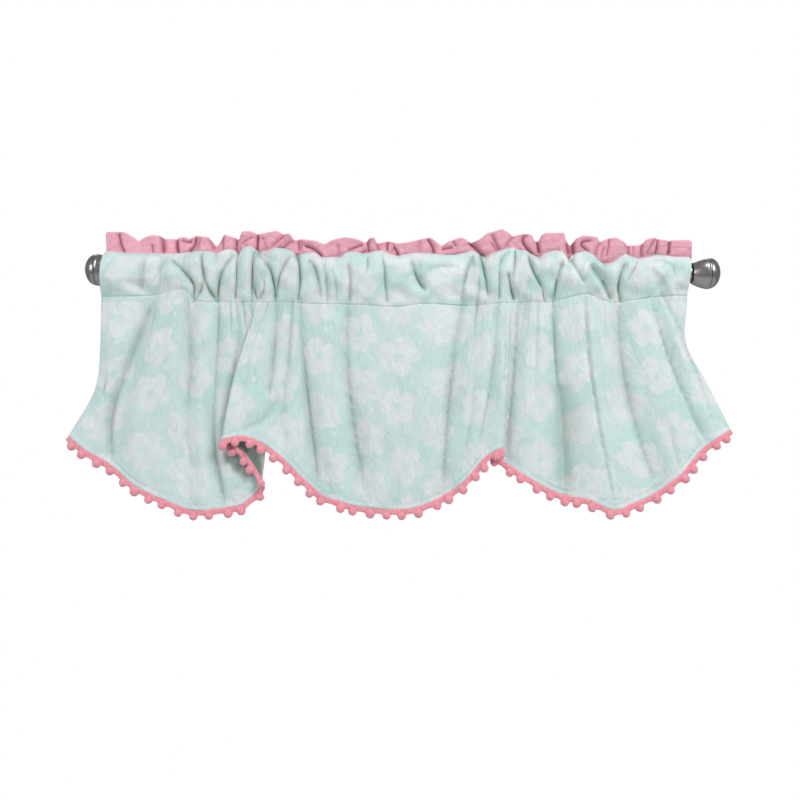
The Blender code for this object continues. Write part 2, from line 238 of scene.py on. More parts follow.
def coverWith(tree, inputs):
    # the surface shader with these inputs, joined to the material's output
    shader = addNode(tree, "ShaderNodeBsdfPrincipled", inputs)
    addNode(tree, "ShaderNodeOutputMaterial", {"Surface": shader.outputs[0]})


def softStep(tree, value, low, high):
    # 0 below low, 1 above high, a smooth ramp between; low may be the greater one
    node = addNode(tree, "ShaderNodeMapRange", {"Value": value, "From Min": low, "From Max": high},
                   interpolation_type="SMOOTHSTEP")
    return node.outputs["Result"]


def ramp(tree, value, low, high, start, end):
    # a straight ramp from start at low to end at high, level past both
    node = addNode(tree, "ShaderNodeMapRange", {"Value": value, "From Min": low, "From Max": high,
                                                "To Min": start, "To Max": end})
    return node.outputs["Result"]


def blendColour(tree, share, first, second, how="MIX"):
    node = addNode(tree, "ShaderNodeMix", {0: share, 6: first, 7: second}, data_type="RGBA",
                   blend_type=how)
    return node.outputs[2]


def nearLine(across, up, ends, left, right):
    # the bent line a(1-t)(1-2t) + 4bt(1-t) + ct(2t-1) through three points in millimetres, run on
    # a little past both ends: which points lie near it, their share t along it, and how many
    # half widths they are from it, each side having its own
    t = np.linspace(-runOn, 1 + runOn, lineSteps)
    a, b, c = [np.array(point) * mm for point in ends]
    path = np.outer((1 - t) * (1 - 2 * t), a) + np.outer(4 * t * (1 - t), b) + np.outer(t * (2 * t - 1), c)
    reach = lineReach * max(left, right) * mm
    low, high = path.min(axis=0) - reach, path.max(axis=0) + reach
    near = (across > low[0]) & (across < high[0]) & (up > low[1]) & (up < high[1])
    offset = np.stack([across[near], up[near]], axis=-1)[:, None] - path
    nearest = np.argmin(np.sum(offset ** 2, axis=-1), axis=1)
    toPoint = offset[np.arange(len(nearest)), nearest]
    heading = np.gradient(path, axis=0)[nearest]
    side = heading[:, 1] * toPoint[:, 0] - heading[:, 0] * toPoint[:, 1]
    distance = np.linalg.norm(toPoint, axis=-1) / (np.where(side > 0, left, right) * mm)
    return near, t[nearest], distance


def endFade(share):
    # 0 where a crease's line runs out, 1 from as far inside its end as it runs on past it
    rise = 2 * runOn
    return np.clip((share + runOn) / rise, 0, 1) * np.clip((1 + runOn - share) / rise, 0, 1)


# A row for each ridge, trough or bend from the left edge to the right one, in millimetres:
# across at the seam, a third down, two thirds down and at the hem; out from the rod's axis
# half-way down and at the hem; the depth of seam and hem below the axis.
folds = [
    ("left edge",                  -402, -403, -410, -444,  7,  9, 36, 223),
    ("edge ridge",                 -375, -383, -395, -418, 12, 16, 36, 242),
    ("slanting trough",            -331, -352, -376, -386,  6,  6, 34, 263),
    ("left panel",                 -318, -336, -352, -358, 13, 14, 31, 285),
    ("left panel end",             -289, -303, -310, -311, 14, 15, 28, 308),
    ("narrow trough",              -279, -286, -288, -281,  8,  9, 40, 320),
    ("narrow ridge",               -263, -267, -268, -259, 13, 14, 43, 320),
    ("dark trough",                -246, -249, -249, -235,  8, 10, 42, 317),
    ("last left ridge",            -226, -226, -219, -208, 12, 13, 43, 309),
    ("overlap, right bend",        -204, -190, -181, -186, 12, 13, 43, 281),
    ("overlap, inside",            -197, -200, -205, -208, 15, 17, 43, 244),
    ("overlap, left bend",         -190, -211, -227, -238, 18, 22, 43, 228),
    ("pleat face",                 -183, -197, -207, -215, 20, 25, 43, 221),
    ("pleat shoulder",             -173, -181, -185, -186, 19, 23, 43, 229),
    ("pleat trough",               -158, -160, -161, -157, 17, 21, 43, 250),
    ("creased ridge",              -141, -136, -132, -126, 18, 20, 43, 281),
    ("middle trough one",          -130, -128, -120, -108, 12, 12, 44, 298),
    ("middle ridge",               -105, -102,  -93,  -79, 15, 17, 45, 308),
    ("middle trough two",           -76,  -78,  -59,  -52, 11, 11, 45, 315),
    ("flat face, left",             -49,  -46,  -35,  -24, 14, 15, 46, 317),
    ("flat face",                    -9,   -4,    3,    8, 15, 16, 48, 317),
    ("flat face, right",             37,   35,   35,   39, 14, 14, 44, 308),
    ("leaning trough",               85,   67,   54,   56, 10, 10, 46, 300),
    ("middle right ridge",          104,   94,   85,   85, 15, 17, 45, 277),
    ("right shoulder",              121,  119,  115,  112, 17, 20, 43, 246),
    ("small overlap, right bend",   138,  140,  136,  133, 16, 19, 42, 235),
    ("small overlap, inside",       144,  137,  132,  130, 13, 14, 42, 237),
    ("small overlap, left bend",    150,  134,  127,  123,  9,  9, 42, 242),
    ("right panel start",           158,  144,  137,  133,  7,  5, 42, 251),
    ("right first ridge",           173,  169,  168,  170, 13, 14, 41, 275),
    ("broad trough",                201,  210,  215,  219,  5,  3, 39, 299),
    ("right panel",                 223,  233,  241,  247, 13, 14, 34, 303),
    ("sharp ridge",                 247,  257,  266,  285, 16, 19, 30, 316),
    ("sharp ridge side",            263,  275,  289,  309, 12, 13, 36, 308),
    ("lower right trough",          281,  291,  316,  337,  9,  8, 41, 296),
    ("right ridge",                 309,  327,  349,  370, 14, 14, 37, 270),
    ("corner trough",               339,  353,  370,  400, 10, 11, 33, 236),
    ("right edge ridge",            363,  368,  394,  424, 12, 14, 31, 217),
    ("right edge",                  380,  379,  408,  438,  7,  8, 31, 210),
]
foldColumns = ("acrossPocket", "acrossThird", "acrossTwoThirds", "acrossHem",
               "outHalf", "outHem", "seam", "drop")

# The corners of the cloth's top edge: across and up from the rod's axis, in millimetres. Chosen
# from a measured line of the edge in the photo.
crownLine = [
    (-402, 23.4), (-394, 24.2), (-380, 22.2), (-319, 21.2), (-297, 22.5), (-281, 25.3), (-262, 24.8),
    (-254, 21.9), (-243, 27.1), (-238, 28.2), (-230, 26.9), (-223, 18.6), (-218, 29.4), (-211, 32.9),
    (-206, 31), (-196, 22.8), (-191, 25.7), (-184, 25.5), (-176, 30.4), (-163, 29.3), (-152, 26.2),
    (-146, 17.7), (-141, 21.2), (-130, 24.2), (-121, 23.8), (-113, 17.8), (-87, 18), (-82, 22.8),
    (-74, 25.6), (-67, 25.7), (-58, 23), (-50, 23.8), (-39, 27.1), (-30, 27.2), (-20, 22.4), (-9, 19.1),
    (-4, 21.7), (9, 23.9), (31, 23.9), (50, 21.8), (66, 21.6), (77, 24), (87, 27.5), (94, 26.2),
    (101, 20.3), (108, 18), (113, 23.1), (125, 26.9), (133, 29.7), (142, 32.8), (152, 28.9), (160, 29),
    (168, 23.4), (179, 18.3), (187, 24.8), (200, 28.7), (210, 27.9), (218, 15.6), (223, 17),
    (228, 24.8), (239, 28.2), (249, 24.8), (257, 17.2), (265, 10.1), (276, 12.4), (284, 16.8),
    (294, 24.9), (305, 20.1), (313, 18.4), (327, 20.8), (335, 23.2), (345, 23), (362, 20.7),
    (384, 20.8),
]

# Creases in millimetres, as soft troughs along a bent line: the cloth they lie in, the line's
# high, middle and low point (across, up), depth (negative stands out), half width on its left
# and right side, and the share of the line at which it is deepest.
creases = [
    ("slanting fold", "left", (-337, -49), (-359, -102), (-374, -143), 6, 4.5, 6, 0.6),
    ("slanting fold, low", "left", (-372, -139), (-391, -203), (-387, -252), 6, 4, 5.5, 0.45),
    ("edge stroke", "left", (-394, -143), (-397, -157), (-400, -169), 2, 2.1, 2.7, 0.5),
    ("lower edge stroke", "left", (-405, -193), (-408, -201), (-410, -209), 1.7, 2.1, 2.7, 0.5),
    ("beside the tuck", "left", (-287, -45), (-285, -131), (-289, -193), 3.6, 5, 6, 0.45),
    ("beside the tuck, low", "left", (-288, -187), (-287, -227), (-279, -267), 1.8, 2.5, 5, 0.4),
    ("under the V", "left", (-246, -45), (-248, -114), (-252, -187), 3.8, 3, 3, 0.3),
    ("under the V, low", "left", (-252, -179), (-249, -240), (-237, -309), 5.2, 5, 3.5, 0.8),
    ("shaded side of the lap", "left", (-219, -80), (-225, -140), (-239, -216), 2.6, 5, 4, 0.55),
    ("fan, first", "left", (-230, -43), (-229, -74), (-226, -104), 1.8, 2, 2.2, 0.3),
    ("fan, second", "left", (-223, -43), (-219, -74), (-217, -107), 2, 2, 2.2, 0.3),
    ("fan, third", "left", (-214, -43), (-211, -62), (-207, -83), 2, 2, 2.2, 0.4),
    ("lap, first line", "middle", (-178, -43), (-186, -64), (-194, -88), 1.5, 2, 2.7, 0.3),
    ("lap, second line", "middle", (-168, -40), (-171, -107), (-177, -168), 4.8, 4, 4, 0.55),
    ("lap, third line", "middle", (-148, -40), (-151, -107), (-161, -208), 3.2, 3.5, 4, 0.4),
    ("hollow above the lap's hem", "middle", (-163, -168), (-183, -198), (-213, -212), 2.6, 7, 5, 0.5),
    ("left band", "middle", (-136, -40), (-128, -153), (-111, -281), 5.2, 5.5, 4.5, 0.8),
    ("middle band", "middle", (-72, -46), (-72, -147), (-51, -283), 5.2, 6, 4.5, 0.8),
    ("right band", "middle", (81, -42), (66, -139), (55, -289), 5.0, 5, 4, 0.6),
    ("soft line", "middle", (100, -39), (97, -72), (93, -105), 1.8, 3, 4.1, 0.3),
    ("mint edge", "middle", (96, -137), (91, -196), (76, -274), 1.8, 2, 4.1, 0.5),
    ("converging, first", "middle", (126, -45), (118, -146), (102, -225), 3.3, 3.4, 4.1, 0.5),
    ("converging, second", "middle", (137, -41), (137, -125), (130, -220), 2.6, 2, 2.4, 0.4),
    ("right shade", "right", (153, -41), (148, -140), (138, -237), 2.8, 3.4, 6, 0.4),
    ("faint line", "right", (180, -38), (179, -105), (177, -182), 1.8, 2.1, 2.4, 0.3),
    ("straight fold", "right", (201, -38), (205, -105), (211, -174), 4.6, 3.4, 2.7, 0.5),
    ("broad fold", "right", (211, -150), (217, -211), (220, -292), 6.6, 9.5, 6.5, 0.6),
    ("ridge foot", "right", (243, -41), (253, -151), (281, -304), 2.6, 2.5, 2.2, 0.5),
    ("ridge", "right", (248, -41), (257, -151), (285, -308), -2.2, 2, 4.1, 0.5),
    ("second ridge", "right", (271, -42), (274, -91), (282, -158), -1.4, 2, 4.1, 0.3),
    ("corner band", "right", (290, -42), (299, -151), (339, -284), 4.6, 6.4, 4.1, 0.5),
    ("last band", "right", (332, -38), (362, -131), (402, -221), 3.4, 3.5, 3.5, 0.5),
    ("side line", "right", (343, -27), (383, -110), (415, -206), 2.6, 2, 4.1, 0.5),
    ("low line", "right", (355, -197), (362, -230), (370, -261), 2, 4.2, 5, 0.5),
    ("left dimple", "pocket", (-343, 12), (-346, -6), (-349, -30), 2.6, 6, 4.5, 0.7),
    ("soft diagonal", "pocket", (-308, 17), (-322, -1), (-335, -23), 1.6, 4, 3, 0.5),
    ("V, left arm", "pocket", (-308, 11), (-290, -4), (-278, -20), 5, 3, 2.2, 0.8),
    ("V, left arm foot", "pocket", (-278, -18), (-279, -30), (-280, -46), 4.2, 2.2, 3, 0.5),
    ("V, stem", "pocket", (-269, 20), (-266, 0), (-264, -14), 6, 2.6, 2.8, 0.7),
    ("V, left foot", "pocket", (-264, -12), (-268, -25), (-277, -41), 3.4, 2, 2, 0.5),
    ("V, right foot", "pocket", (-264, -10), (-257, -27), (-247, -43), 5.2, 3.5, 2.4, 0.6),
    ("puff, left side", "pocket", (-225, 19), (-243, -10), (-247, -45), 5.4, 2.4, 3, 0.7),
    ("puff, right side", "pocket", (-222, 14), (-221, -12), (-224, -41), 4.4, 2, 2, 0.5),
    ("knot, left side", "pocket", (-199, 27), (-200, 1), (-201, -38), 5.2, 2.2, 2.2, 0.5),
    ("knot fan, first", "pocket", (-196, 22), (-182, 18), (-164, 10), 2.2, 1.6, 1.6, 0.3),
    ("knot fan, second", "pocket", (-194, 19), (-183, 10), (-174, 0), 2.4, 1.6, 1.6, 0.3),
    ("loop, left", "pocket", (-198, 6), (-198, -21), (-192, -42), 3.4, 2, 2, 0.6),
    ("loop, right", "pocket", (-192, -40), (-185, -30), (-184, -15), 2.8, 2, 2, 0.3),
    ("lap tuck", "pocket", (-185, 8), (-174, -7), (-170, -43), 5.6, 2.4, 3, 0.7),
    ("right arc", "pocket", (-148, 19), (-162, -6), (-168, -40), 4.6, 3, 2.4, 0.6),
    ("long tuck", "pocket", (-143, 24), (-137, -3), (-140, -43), 6, 2.2, 2.2, 0.5),
    ("arc", "pocket", (-126, 13), (-115, -3), (-109, -37), 4, 4.5, 2.5, 0.5),
    ("soft one", "pocket", (-106, 8), (-102, -15), (-101, -43), 2.8, 3, 3.5, 0.6),
    ("soft two", "pocket", (-95, 1), (-89, -20), (-88, -43), 2, 3, 3, 0.6),
    ("hook", "pocket", (-73, 8), (-70, -18), (-72, -44), 3.4, 3, 3, 0.6),
    ("cup nick", "pocket", (-47, 16), (-47, 6), (-48, -5), 2.2, 2, 2, 0.4),
    ("straight tuck", "pocket", (-26, 14), (-23, -14), (-21, -42), 3.6, 3, 2, 0.5),
    ("leaning tuck", "pocket", (11, 12), (20, -11), (31, -27), 4.6, 3.2, 3, 0.55),
    ("flat crease", "pocket", (34, 1), (51, 5), (77, 4), 1.8, 2, 2.2, 0.5),
    ("long line", "pocket", (95, 18), (84, -5), (79, -42), 4, 3, 3, 0.4),
    ("deep tuck", "pocket", (102, 24), (108, -1), (114, -33), 5.6, 2.4, 2.6, 0.45),
    ("lobe, arc", "pocket", (128, 2), (134, 18), (144, 26), 2.8, 2, 2, 0.4),
    ("lobe, foot", "pocket", (129, 1), (128, -19), (129, -39), 3.6, 2.2, 2.2, 0.7),
    ("lobe, right side", "pocket", (140, -4), (144, -21), (149, -40), 5.2, 2.6, 2.6, 0.7),
    ("small tuck", "pocket", (150, 29), (149, 11), (146, -10), 4.6, 2, 2, 0.35),
    ("cup, left side", "pocket", (167, 20), (174, -1), (186, -22), 5.4, 2.2, 2.6, 0.6),
    ("cup, left foot", "pocket", (186, -21), (188, -33), (191, -44), 2.8, 2, 2, 0.4),
    ("cup, right side", "pocket", (213, 10), (206, -10), (201, -41), 5.6, 2.6, 3, 0.7),
    ("nick", "pocket", (223, 17), (233, -1), (241, -15), 3, 2.2, 2, 0.4),
    ("fan, crest", "pocket", (240, 6), (256, -15), (272, -39), -2.4, 3, 2.4, 0.5),
    ("fan, hollow", "pocket", (249, 7), (265, -13), (278, -39), 5.2, 3.6, 6, 0.5),
    ("fan, right side", "pocket", (297, 10), (288, -13), (292, -42), 5.4, 2.6, 2.4, 0.6),
    ("short line", "pocket", (313, 13), (306, 0), (299, -13), 2.8, 2.4, 2, 0.5),
    ("end arc", "pocket", (329, 14), (354, 10), (361, -9), 1.8, 2.6, 2.4, 0.5),
    ("end crest", "pocket", (330, 10), (348, -10), (362, -35), -1.8, 3, 3, 0.5),
    ("puffed end", "pocket", (-397, -13), (-350, -12), (-308, -8), -1.8, 7, 7, 0.4),
]

cloth = {
    "thickness": 0.0020,
    "skirtColumns": 715,
    "skirtRows": 66,
    "skirtCloser": (2.6, 2.2),  # how much closer its rows lie at the hem and at the seam
    "pocketColumns": 1060,
    "pocketFrontRows": 31,
    "pocketCloser": (1.0, 0.0),     # the same at the seam and at the top edge
    "pocketBackRows": 11,
    "turnWorth": 0.006,         # a turn of one radian counts as this much length
    "cornerRound": 0.0015,      # how softly the top edge turns its corners
    "seamOut": 0.0105,
    "seamFollows": 0.60,        # how much of the folds the seam keeps
    "seamFollowsAtMost": 0.006,
    "meanOut": 0.012,
    "pocketBulge": 0.0180,
    "finialBulge": 0.0075,      # the pocket flares over the left finial
    "finialBulgeReach": 0.022,
    "lean": 0.0040,             # the pocket's top edge lies this far to the right of its seam
    "frontFade": 0.004,         # tucks fade out on the last of the front before the top edge
    "rodRadius": 0.008,
    "rodClearance": 0.0024,
    "rodBand": 0.012,           # the tucks stay clear of the rod within this height of its axis
    "seamLeast": 0.0036,        # grooves leave the cloth this far in front of the axis at the seam
    "seamGap": 0.0034,          # from the front's middle to the back's, where they are sewn together
    "sewnDeep": 0.0045,         # the back follows the front's grooves at the seam up to this depth
    "sewnHem": 1.6,             # the back's turned hem follows them this many times as far
    "sewnFrom": 0.85,           # share of the way round the pocket from which the back follows
    "backHem": 0.010,
    "backHemSpread": 0.0015,
    "seamDip": 0.0009,          # the stitched line sinks into the pile where the cloth lies flat
    "seamDipHalf": 0.0012,
    "seamPatch": 0.06,          # length of the places in which it shows
    "puckerPitch": 0.0042,
    "puckerRise": 0.00025,
    "puckerAt": 0.004,          # below the seam
    "hemRoll": 0.0006,          # the turned hem stands a little proud, with a groove above it
    "hemWidth": 0.0065,
    "hemGrooveDepth": 0.0009,
    "hemGrooveHalf": 0.0014,
    "hemPatch": 0.07,           # length of the places in which the groove shows
    "gatherFolds": 0.0005,      # upright folds at the seam, fading out away from it
    "gatherLeast": 0.15,        # share of them that is left where the seam doesn't gather
    "gatherFoldSize": 0.012,
    "gatherSlant": 0.05,
    "gatherLength": 0.070,
    "gatherLengthPocket": 0.030,
    "waves": 0.0010,            # slow waves of the hanging cloth
    "waveSize": 0.045,
    "waveStretch": 0.4,         # below 1: longer down the cloth than across it
    "waveFrom": 0.05,           # full from this far below the seam
    "puffs": 0.0018,            # slack of the pocket between its tucks
    "puffSize": 0.024,
    "puffStretch": 0.6,
    "puffFrom": 0.012,
    "creaseCore": 0.70,         # share of a crease that is its narrow line, the rest its hollow
    "creaseHollow": 2.6,        # the hollow's width against the line's
    "creaseEven": 0.65,         # share of its depth that a crease keeps all along
    "creaseSpread": 0.35,       # how far along the line its deepest part reaches
    "creaseShadeFull": 7.0,          # worth times depth at which a crease's painted shade is full
    "creaseWorth": 1.9,         # what a crease's depth in the table is multiplied by
    "tuckWorth": 1.8,           # the same for the pocket's own tucks
    "skirtCreaseShade": 0.60,       # the hanging cloth's creases get this share of the painted shade of the pocket's tucks
    # the stitched line's darkening: partly the thread's own tone, partly painted shade in its sunk line
    "seamLineShade": 0.5,
    # painted shade in the groove above the turned hem
    "hemGrooveShade": 0.4,
    # painted shade under the dips of the top edge
    "dipPaintedShade": 0.7,
    "dipReach": 0.012,          # dips of the top edge against its own mean this far to each side
    "dipDeep": 0.0045,
    "dipShade": 0.007,          # how far below the top edge a dip's painted shade reaches
    "lapFade": 0.006,           # a crease fades out over this much cloth at a lap's bend
    "lapFlat": 0.010,           # and above this far below the seam, where the laps lie flat
    "lapShade": ((-240, -243), (-222, -254), (-200, -284)),    # painted shadow of the lap on the cloth behind it
    "lapShadeHalf": 11,
    "lapShadeWaver": 0.16,
    "lapShadeReach": 0.030,
}
lapBends = ("overlap, right bend", "overlap, left bend",
            "small overlap, right bend", "small overlap, left bend")

# The pocket's section round the rod: up as a share of the top edge (or, below zero, of the seam's
# depth), out as a share of the bulge, and how much of the skirt's folds it keeps.
pocketSection = [
    (-0.74, 0.74, 0.90), (-0.38, 0.93, 0.65), (0.00, 1.00, 0.40), (0.48, 0.90, 0.25),
    (0.82, 0.60, 0.12), (0.96, 0.30, 0.04), (1.00, 0.00, 0.00), (0.94, -0.38, 0.00),
    (0.66, -0.78, 0.00), (0.00, -1.00, 0.00), (-0.52, -0.72, 0.20),
]


def foldValues(name):
    at = foldColumns.index(name) + 1
    return np.array([row[at] for row in folds]) * mm


def cutPlaces():
    # running length of the hem seen from above, at each fold
    steps = np.hypot(np.diff(foldValues("acrossHem")), np.diff(foldValues("outHem")))
    return np.concatenate(([0.0], np.cumsum(steps)))


def seamFolds():
    # how far each fold moves the seam in or out, eased off past a few millimetres
    most = cloth["seamFollowsAtMost"]
    return most * np.tanh(cloth["seamFollows"] * (foldValues("outHalf") - cloth["meanOut"]) / most)


def frontPoints(places, downs):
    # place along the cut and share of the way down -> smooth curves down each fold, then
    # smooth curves across the folds
    heights = ("acrossPocket", "acrossThird", "acrossTwoThirds", "acrossHem")
    levels = np.stack([foldValues(name) for name in heights])
    across = smoothThrough(np.linspace(0.0, 1.0, 4), levels, downs)
    outs = np.stack([cloth["seamOut"] + seamFolds(), foldValues("outHalf"), foldValues("outHem")])
    out = smoothThrough(np.linspace(0.0, 1.0, 3), outs, downs)
    seam = foldValues("seam")
    drop = seam + (foldValues("drop") - seam) * downs[:, None]
    rows = np.stack([across, -out, -drop], axis=-1).swapaxes(0, 1)
    return smoothThrough(cutPlaces(), rows, places, roundSlopes).swapaxes(0, 1)


def clothPlaces(count, downs):
    # even steps of length plus turning, measured on the lines at these shares of the way down
    fine = np.linspace(0.0, cutPlaces()[-1], cutSteps)
    lines = frontPoints(fine, np.array(downs))[:, :, :2]
    steps = np.diff(lines, axis=1)
    turns = np.abs(np.diff(np.unwrap(np.arctan2(steps[..., 1], steps[..., 0]), axis=1),
                           axis=1, append=0.0))
    turns[:, -1] = 0.0
    effort = (np.hypot(steps[..., 0], steps[..., 1]) + cloth["turnWorth"] * turns).mean(axis=0)
    effort = np.concatenate(([0.0], np.cumsum(movingMean(effort, 41))))
    return np.interp(np.linspace(0.0, effort[-1], count), effort, fine)


def cutAcross(places):
    # running length of the cloth half-way down, from the middle of the rod, and how tightly the
    # seam gathers it: that length against the seam's own, less one
    fine = np.linspace(0.0, cutPlaces()[-1], cutSteps)
    seam, half = frontPoints(fine, np.array([0.0, 0.5]))
    along = lengthsAlong(half, 0)
    pull = np.gradient(along) / np.linalg.norm(np.gradient(seam, axis=0), axis=-1) - 1.0
    pull = movingMean(np.clip(pull, 0, 1.5), 61)
    along = along - np.interp(0.0, half[:, 0], along)
    return np.interp(places, fine, along), np.interp(places, fine, pull)


def closerNear(count, first, last):
    # shares from 0 to 1 that lie closer together at both ends, by a density of 1 plus a bell
    # at each end
    fine = np.linspace(0.0, 1.0, 2000)
    density = 1 + first * np.exp(-(fine / 0.05) ** 2) + last * np.exp(-((1 - fine) / 0.04) ** 2)
    run = np.concatenate(([0.0], np.cumsum((density[1:] + density[:-1]) / 2)))
    return np.interp(np.linspace(0.0, run[-1], count), run, fine)


def creaseDepth(across, up, panels):
    # each crease is depth * (core exp(-d^1.25) + (1 - core) exp(-(d / hollow)^2)) at d half widths
    # from its line; where grooves meet, the cube root of the cubes' sum lets the deeper one rule;
    # the second result is the painted shade of the creases, 0 to 1
    grooves, ridges = np.zeros(across.shape), np.zeros(across.shape)
    lines = np.zeros(across.shape)
    core, even = cloth["creaseCore"], cloth["creaseEven"]
    for name, panel, high, middle, low, depth, left, right, deepest in creases:
        near, share, distance = nearLine(across, up, (high, middle, low), left, right)
        swell = np.exp(-((share - deepest) / cloth["creaseSpread"]) ** 2)
        fade = endFade(share) * (even + (1 - even) * swell)
        line = np.exp(-distance ** 1.25)
        shape = core * line + (1 - core) * np.exp(-(distance / cloth["creaseHollow"]) ** 2)
        worth = cloth["tuckWorth"] if panel == "pocket" else cloth["creaseWorth"]
        strength = worth * depth * fade * panels[panel][near]
        if depth > 0:
            grooves[near] += (strength * mm * shape) ** 3
            lines[near] += (strength * line) ** 2
        else:
            ridges[near] += strength * mm * shape
    return np.cbrt(grooves) + ridges, np.clip(np.sqrt(lines) / cloth["creaseShadeFull"], 0, 1)


def crownDips(across):
    # 0 to 1: how far the top edge dips under its own evened-out line
    evened = softCorners(crownLine, 1, across, cloth["dipReach"])
    edge = softCorners(crownLine, 1, across, cloth["cornerRound"])
    return np.clip((evened - edge) / cloth["dipDeep"], 0, 1)


def stitchLine(fromSeam, along, pull):
    # a fine sunk line that shows in places, and not where the seam gathers the cloth
    patches = np.clip(0.7 + 0.45 * softNoise(along, 0 * along, cloth["seamPatch"], 33), 0, 1)
    shows = np.clip(1.05 - 2.4 * pull, 0, 1) * patches
    return np.exp(-(fromSeam / cloth["seamDipHalf"]) ** 2) * shows


def hemGroove(fromHem, along):
    # the shallow line above the turned hem, stronger in places
    patches = np.clip(0.55 + 0.5 * softNoise(along, 0 * along, cloth["hemPatch"], 13), 0, 1)
    return np.exp(-((fromHem - cloth["hemWidth"]) / cloth["hemGrooveHalf"]) ** 2) * patches


def gatherRipple(along, away, pull, reach):
    # upright folds where the seam gathers the cloth; away is negative above the seam
    ripple = softNoise(along, away * cloth["gatherSlant"], cloth["gatherFoldSize"], 5)
    strength = cloth["gatherFolds"] * (cloth["gatherLeast"] + pull)
    return ripple * strength * np.exp(-np.abs(away) / reach)


def lapSides(places):
    # for each bend of the two laps, -1 before it and 1 past it along the cut
    names = [row[0] for row in folds]
    bends = [cutPlaces()[names.index(name)] for name in lapBends]
    return [np.clip((places - bend) / cloth["lapFade"], -1, 1) for bend in bends]


def lapShadow(front, fromHem, sides):
    # painted shadow, 0 to 1: the cloth turned in under the lap, near its hem, and a band on the cloth
    # behind it, sin(pi t)^0.6 * exp(-d^3) along a bent line whose half width wavers
    line, half = cloth["lapShade"], cloth["lapShadeHalf"]
    near, share, distance = nearLine(front[..., 0], front[..., 2], line, half, half)
    shaded = np.clip(sides[0], 0, 1) * np.clip(-sides[1], 0, 1)
    shaded = shaded * np.exp(-(fromHem / cloth["lapShadeReach"]) ** 2)
    distance = distance / (1 + cloth["lapShadeWaver"] * np.cos(6 * math.pi * share))
    behind = np.broadcast_to(np.clip(-sides[0], 0, 1), shaded.shape)[near]
    shaded[near] += np.sin(math.pi * np.clip(share, 0, 1)) ** 0.6 * np.exp(-distance ** 3) * behind
    return shaded


def skirtPoints():
    # the folds' surface from the hem up to the seam, pressed in by its creases, the gathers, the
    # seam and the hem; the third result is painted shade, and below zero the lap's painted shadow
    places = clothPlaces(cloth["skirtColumns"], [0.5, 1.0])
    front = frontPoints(places, 1 - closerNear(cloth["skirtRows"], *cloth["skirtCloser"]))
    along, pull = cutAcross(places)
    fromSeam = lengthsAlong(front[::-1], 0)[::-1]
    fromHem = lengthsAlong(front, 0)
    # the three cloths that the two laps part, each fading out inside its lap and all of them
    # one at the seam
    sides = lapSides(places)
    left = np.clip(-sides[0], 0, 1)
    middle = np.clip(sides[1], 0, 1) * np.clip(-sides[2], 0, 1)
    right = np.clip(sides[3], 0, 1)
    panels = {"left": left, "middle": middle, "right": right, "pocket": left + middle + right}
    parted = np.clip(fromSeam / cloth["lapFlat"], 0, 1)
    panels = {name: 1 + (there - 1) * parted for name, there in panels.items()}
    depth, pressed = creaseDepth(front[..., 0], front[..., 2], panels)
    depth += gatherRipple(along, fromSeam, pull, cloth["gatherLength"])
    waves = softNoise(along, fromSeam * cloth["waveStretch"], cloth["waveSize"], 9) * cloth["waves"]
    depth += waves * np.clip(fromSeam / cloth["waveFrom"], 0, 1)
    stitched = stitchLine(fromSeam, along, pull)
    depth += stitched * cloth["seamDip"]
    pucker = np.cos(2 * math.pi * along / cloth["puckerPitch"]) * cloth["puckerRise"]
    depth -= pucker * np.exp(-((fromSeam - cloth["puckerAt"]) / cloth["puckerAt"]) ** 2)
    groove = hemGroove(fromHem, along)
    depth += groove * cloth["hemGrooveDepth"]
    depth -= cloth["hemRoll"] * np.clip(1 - (fromHem / cloth["hemWidth"]) ** 4, 0, 1)
    out = -front[..., 1]
    front[..., 1] = -np.maximum(out - depth, np.minimum(out, cloth["seamLeast"] - 2 * fromSeam))
    # painted shade in the creases and in the hem's groove; the stitched line's darkening is partly the
    # thread's own tone and partly painted shade
    pressed = (cloth["skirtCreaseShade"] * pressed + cloth["seamLineShade"] * stitched
               + cloth["hemGrooveShade"] * groove)
    shaded = lapShadow(front, fromHem, sides)
    pressed = np.clip(pressed, 0, 1) * (1 - shaded) - shaded
    uv = np.stack([np.broadcast_to(along, fromSeam.shape), fromSeam], axis=-1)
    return front, uv, pressed


def pocketSide(places):
    # the plain section at each place, smooth through the rows of its table from the front seam
    # over the top to the back; then the shares round it, the top's share, and the back's end
    seamRow = frontPoints(places, np.array([0.0]))[0]
    across, front, seam = seamRow[:, 0], -seamRow[:, 1], -seamRow[:, 2]
    crown = softCorners(crownLine, 1, across, cloth["cornerRound"])
    follows = front - cloth["seamOut"]
    flare = np.exp(-((across - across[0]) / cloth["finialBulgeReach"]) ** 2)
    bulge = cloth["pocketBulge"] + cloth["finialBulge"] * flare
    rows = [seamRow]
    for high, out, keeps in pocketSection:
        up = high * np.where(high > 0, crown, seam)
        shift = cloth["lean"] * (up + seam) / (crown + seam)
        rows.append(np.stack([across + shift, -out * bulge - keeps * follows, up], axis=-1))
    rows.append(np.stack([across, cloth["seamGap"] - front, -seam], axis=-1))
    knots = lengthsAlong(np.stack(rows), 0).mean(axis=1)
    top = knots[[high for high, out, keeps in pocketSection].index(1.0) + 1] / knots[-1]
    levels = np.concatenate([top * closerNear(cloth["pocketFrontRows"], *cloth["pocketCloser"]),
                             np.linspace(top, 1.0, cloth["pocketBackRows"] + 1)[1:]])
    section = smoothThrough(knots, np.stack(rows), levels * knots[-1])
    return section, levels[:, None], top, crown, rows[-1]


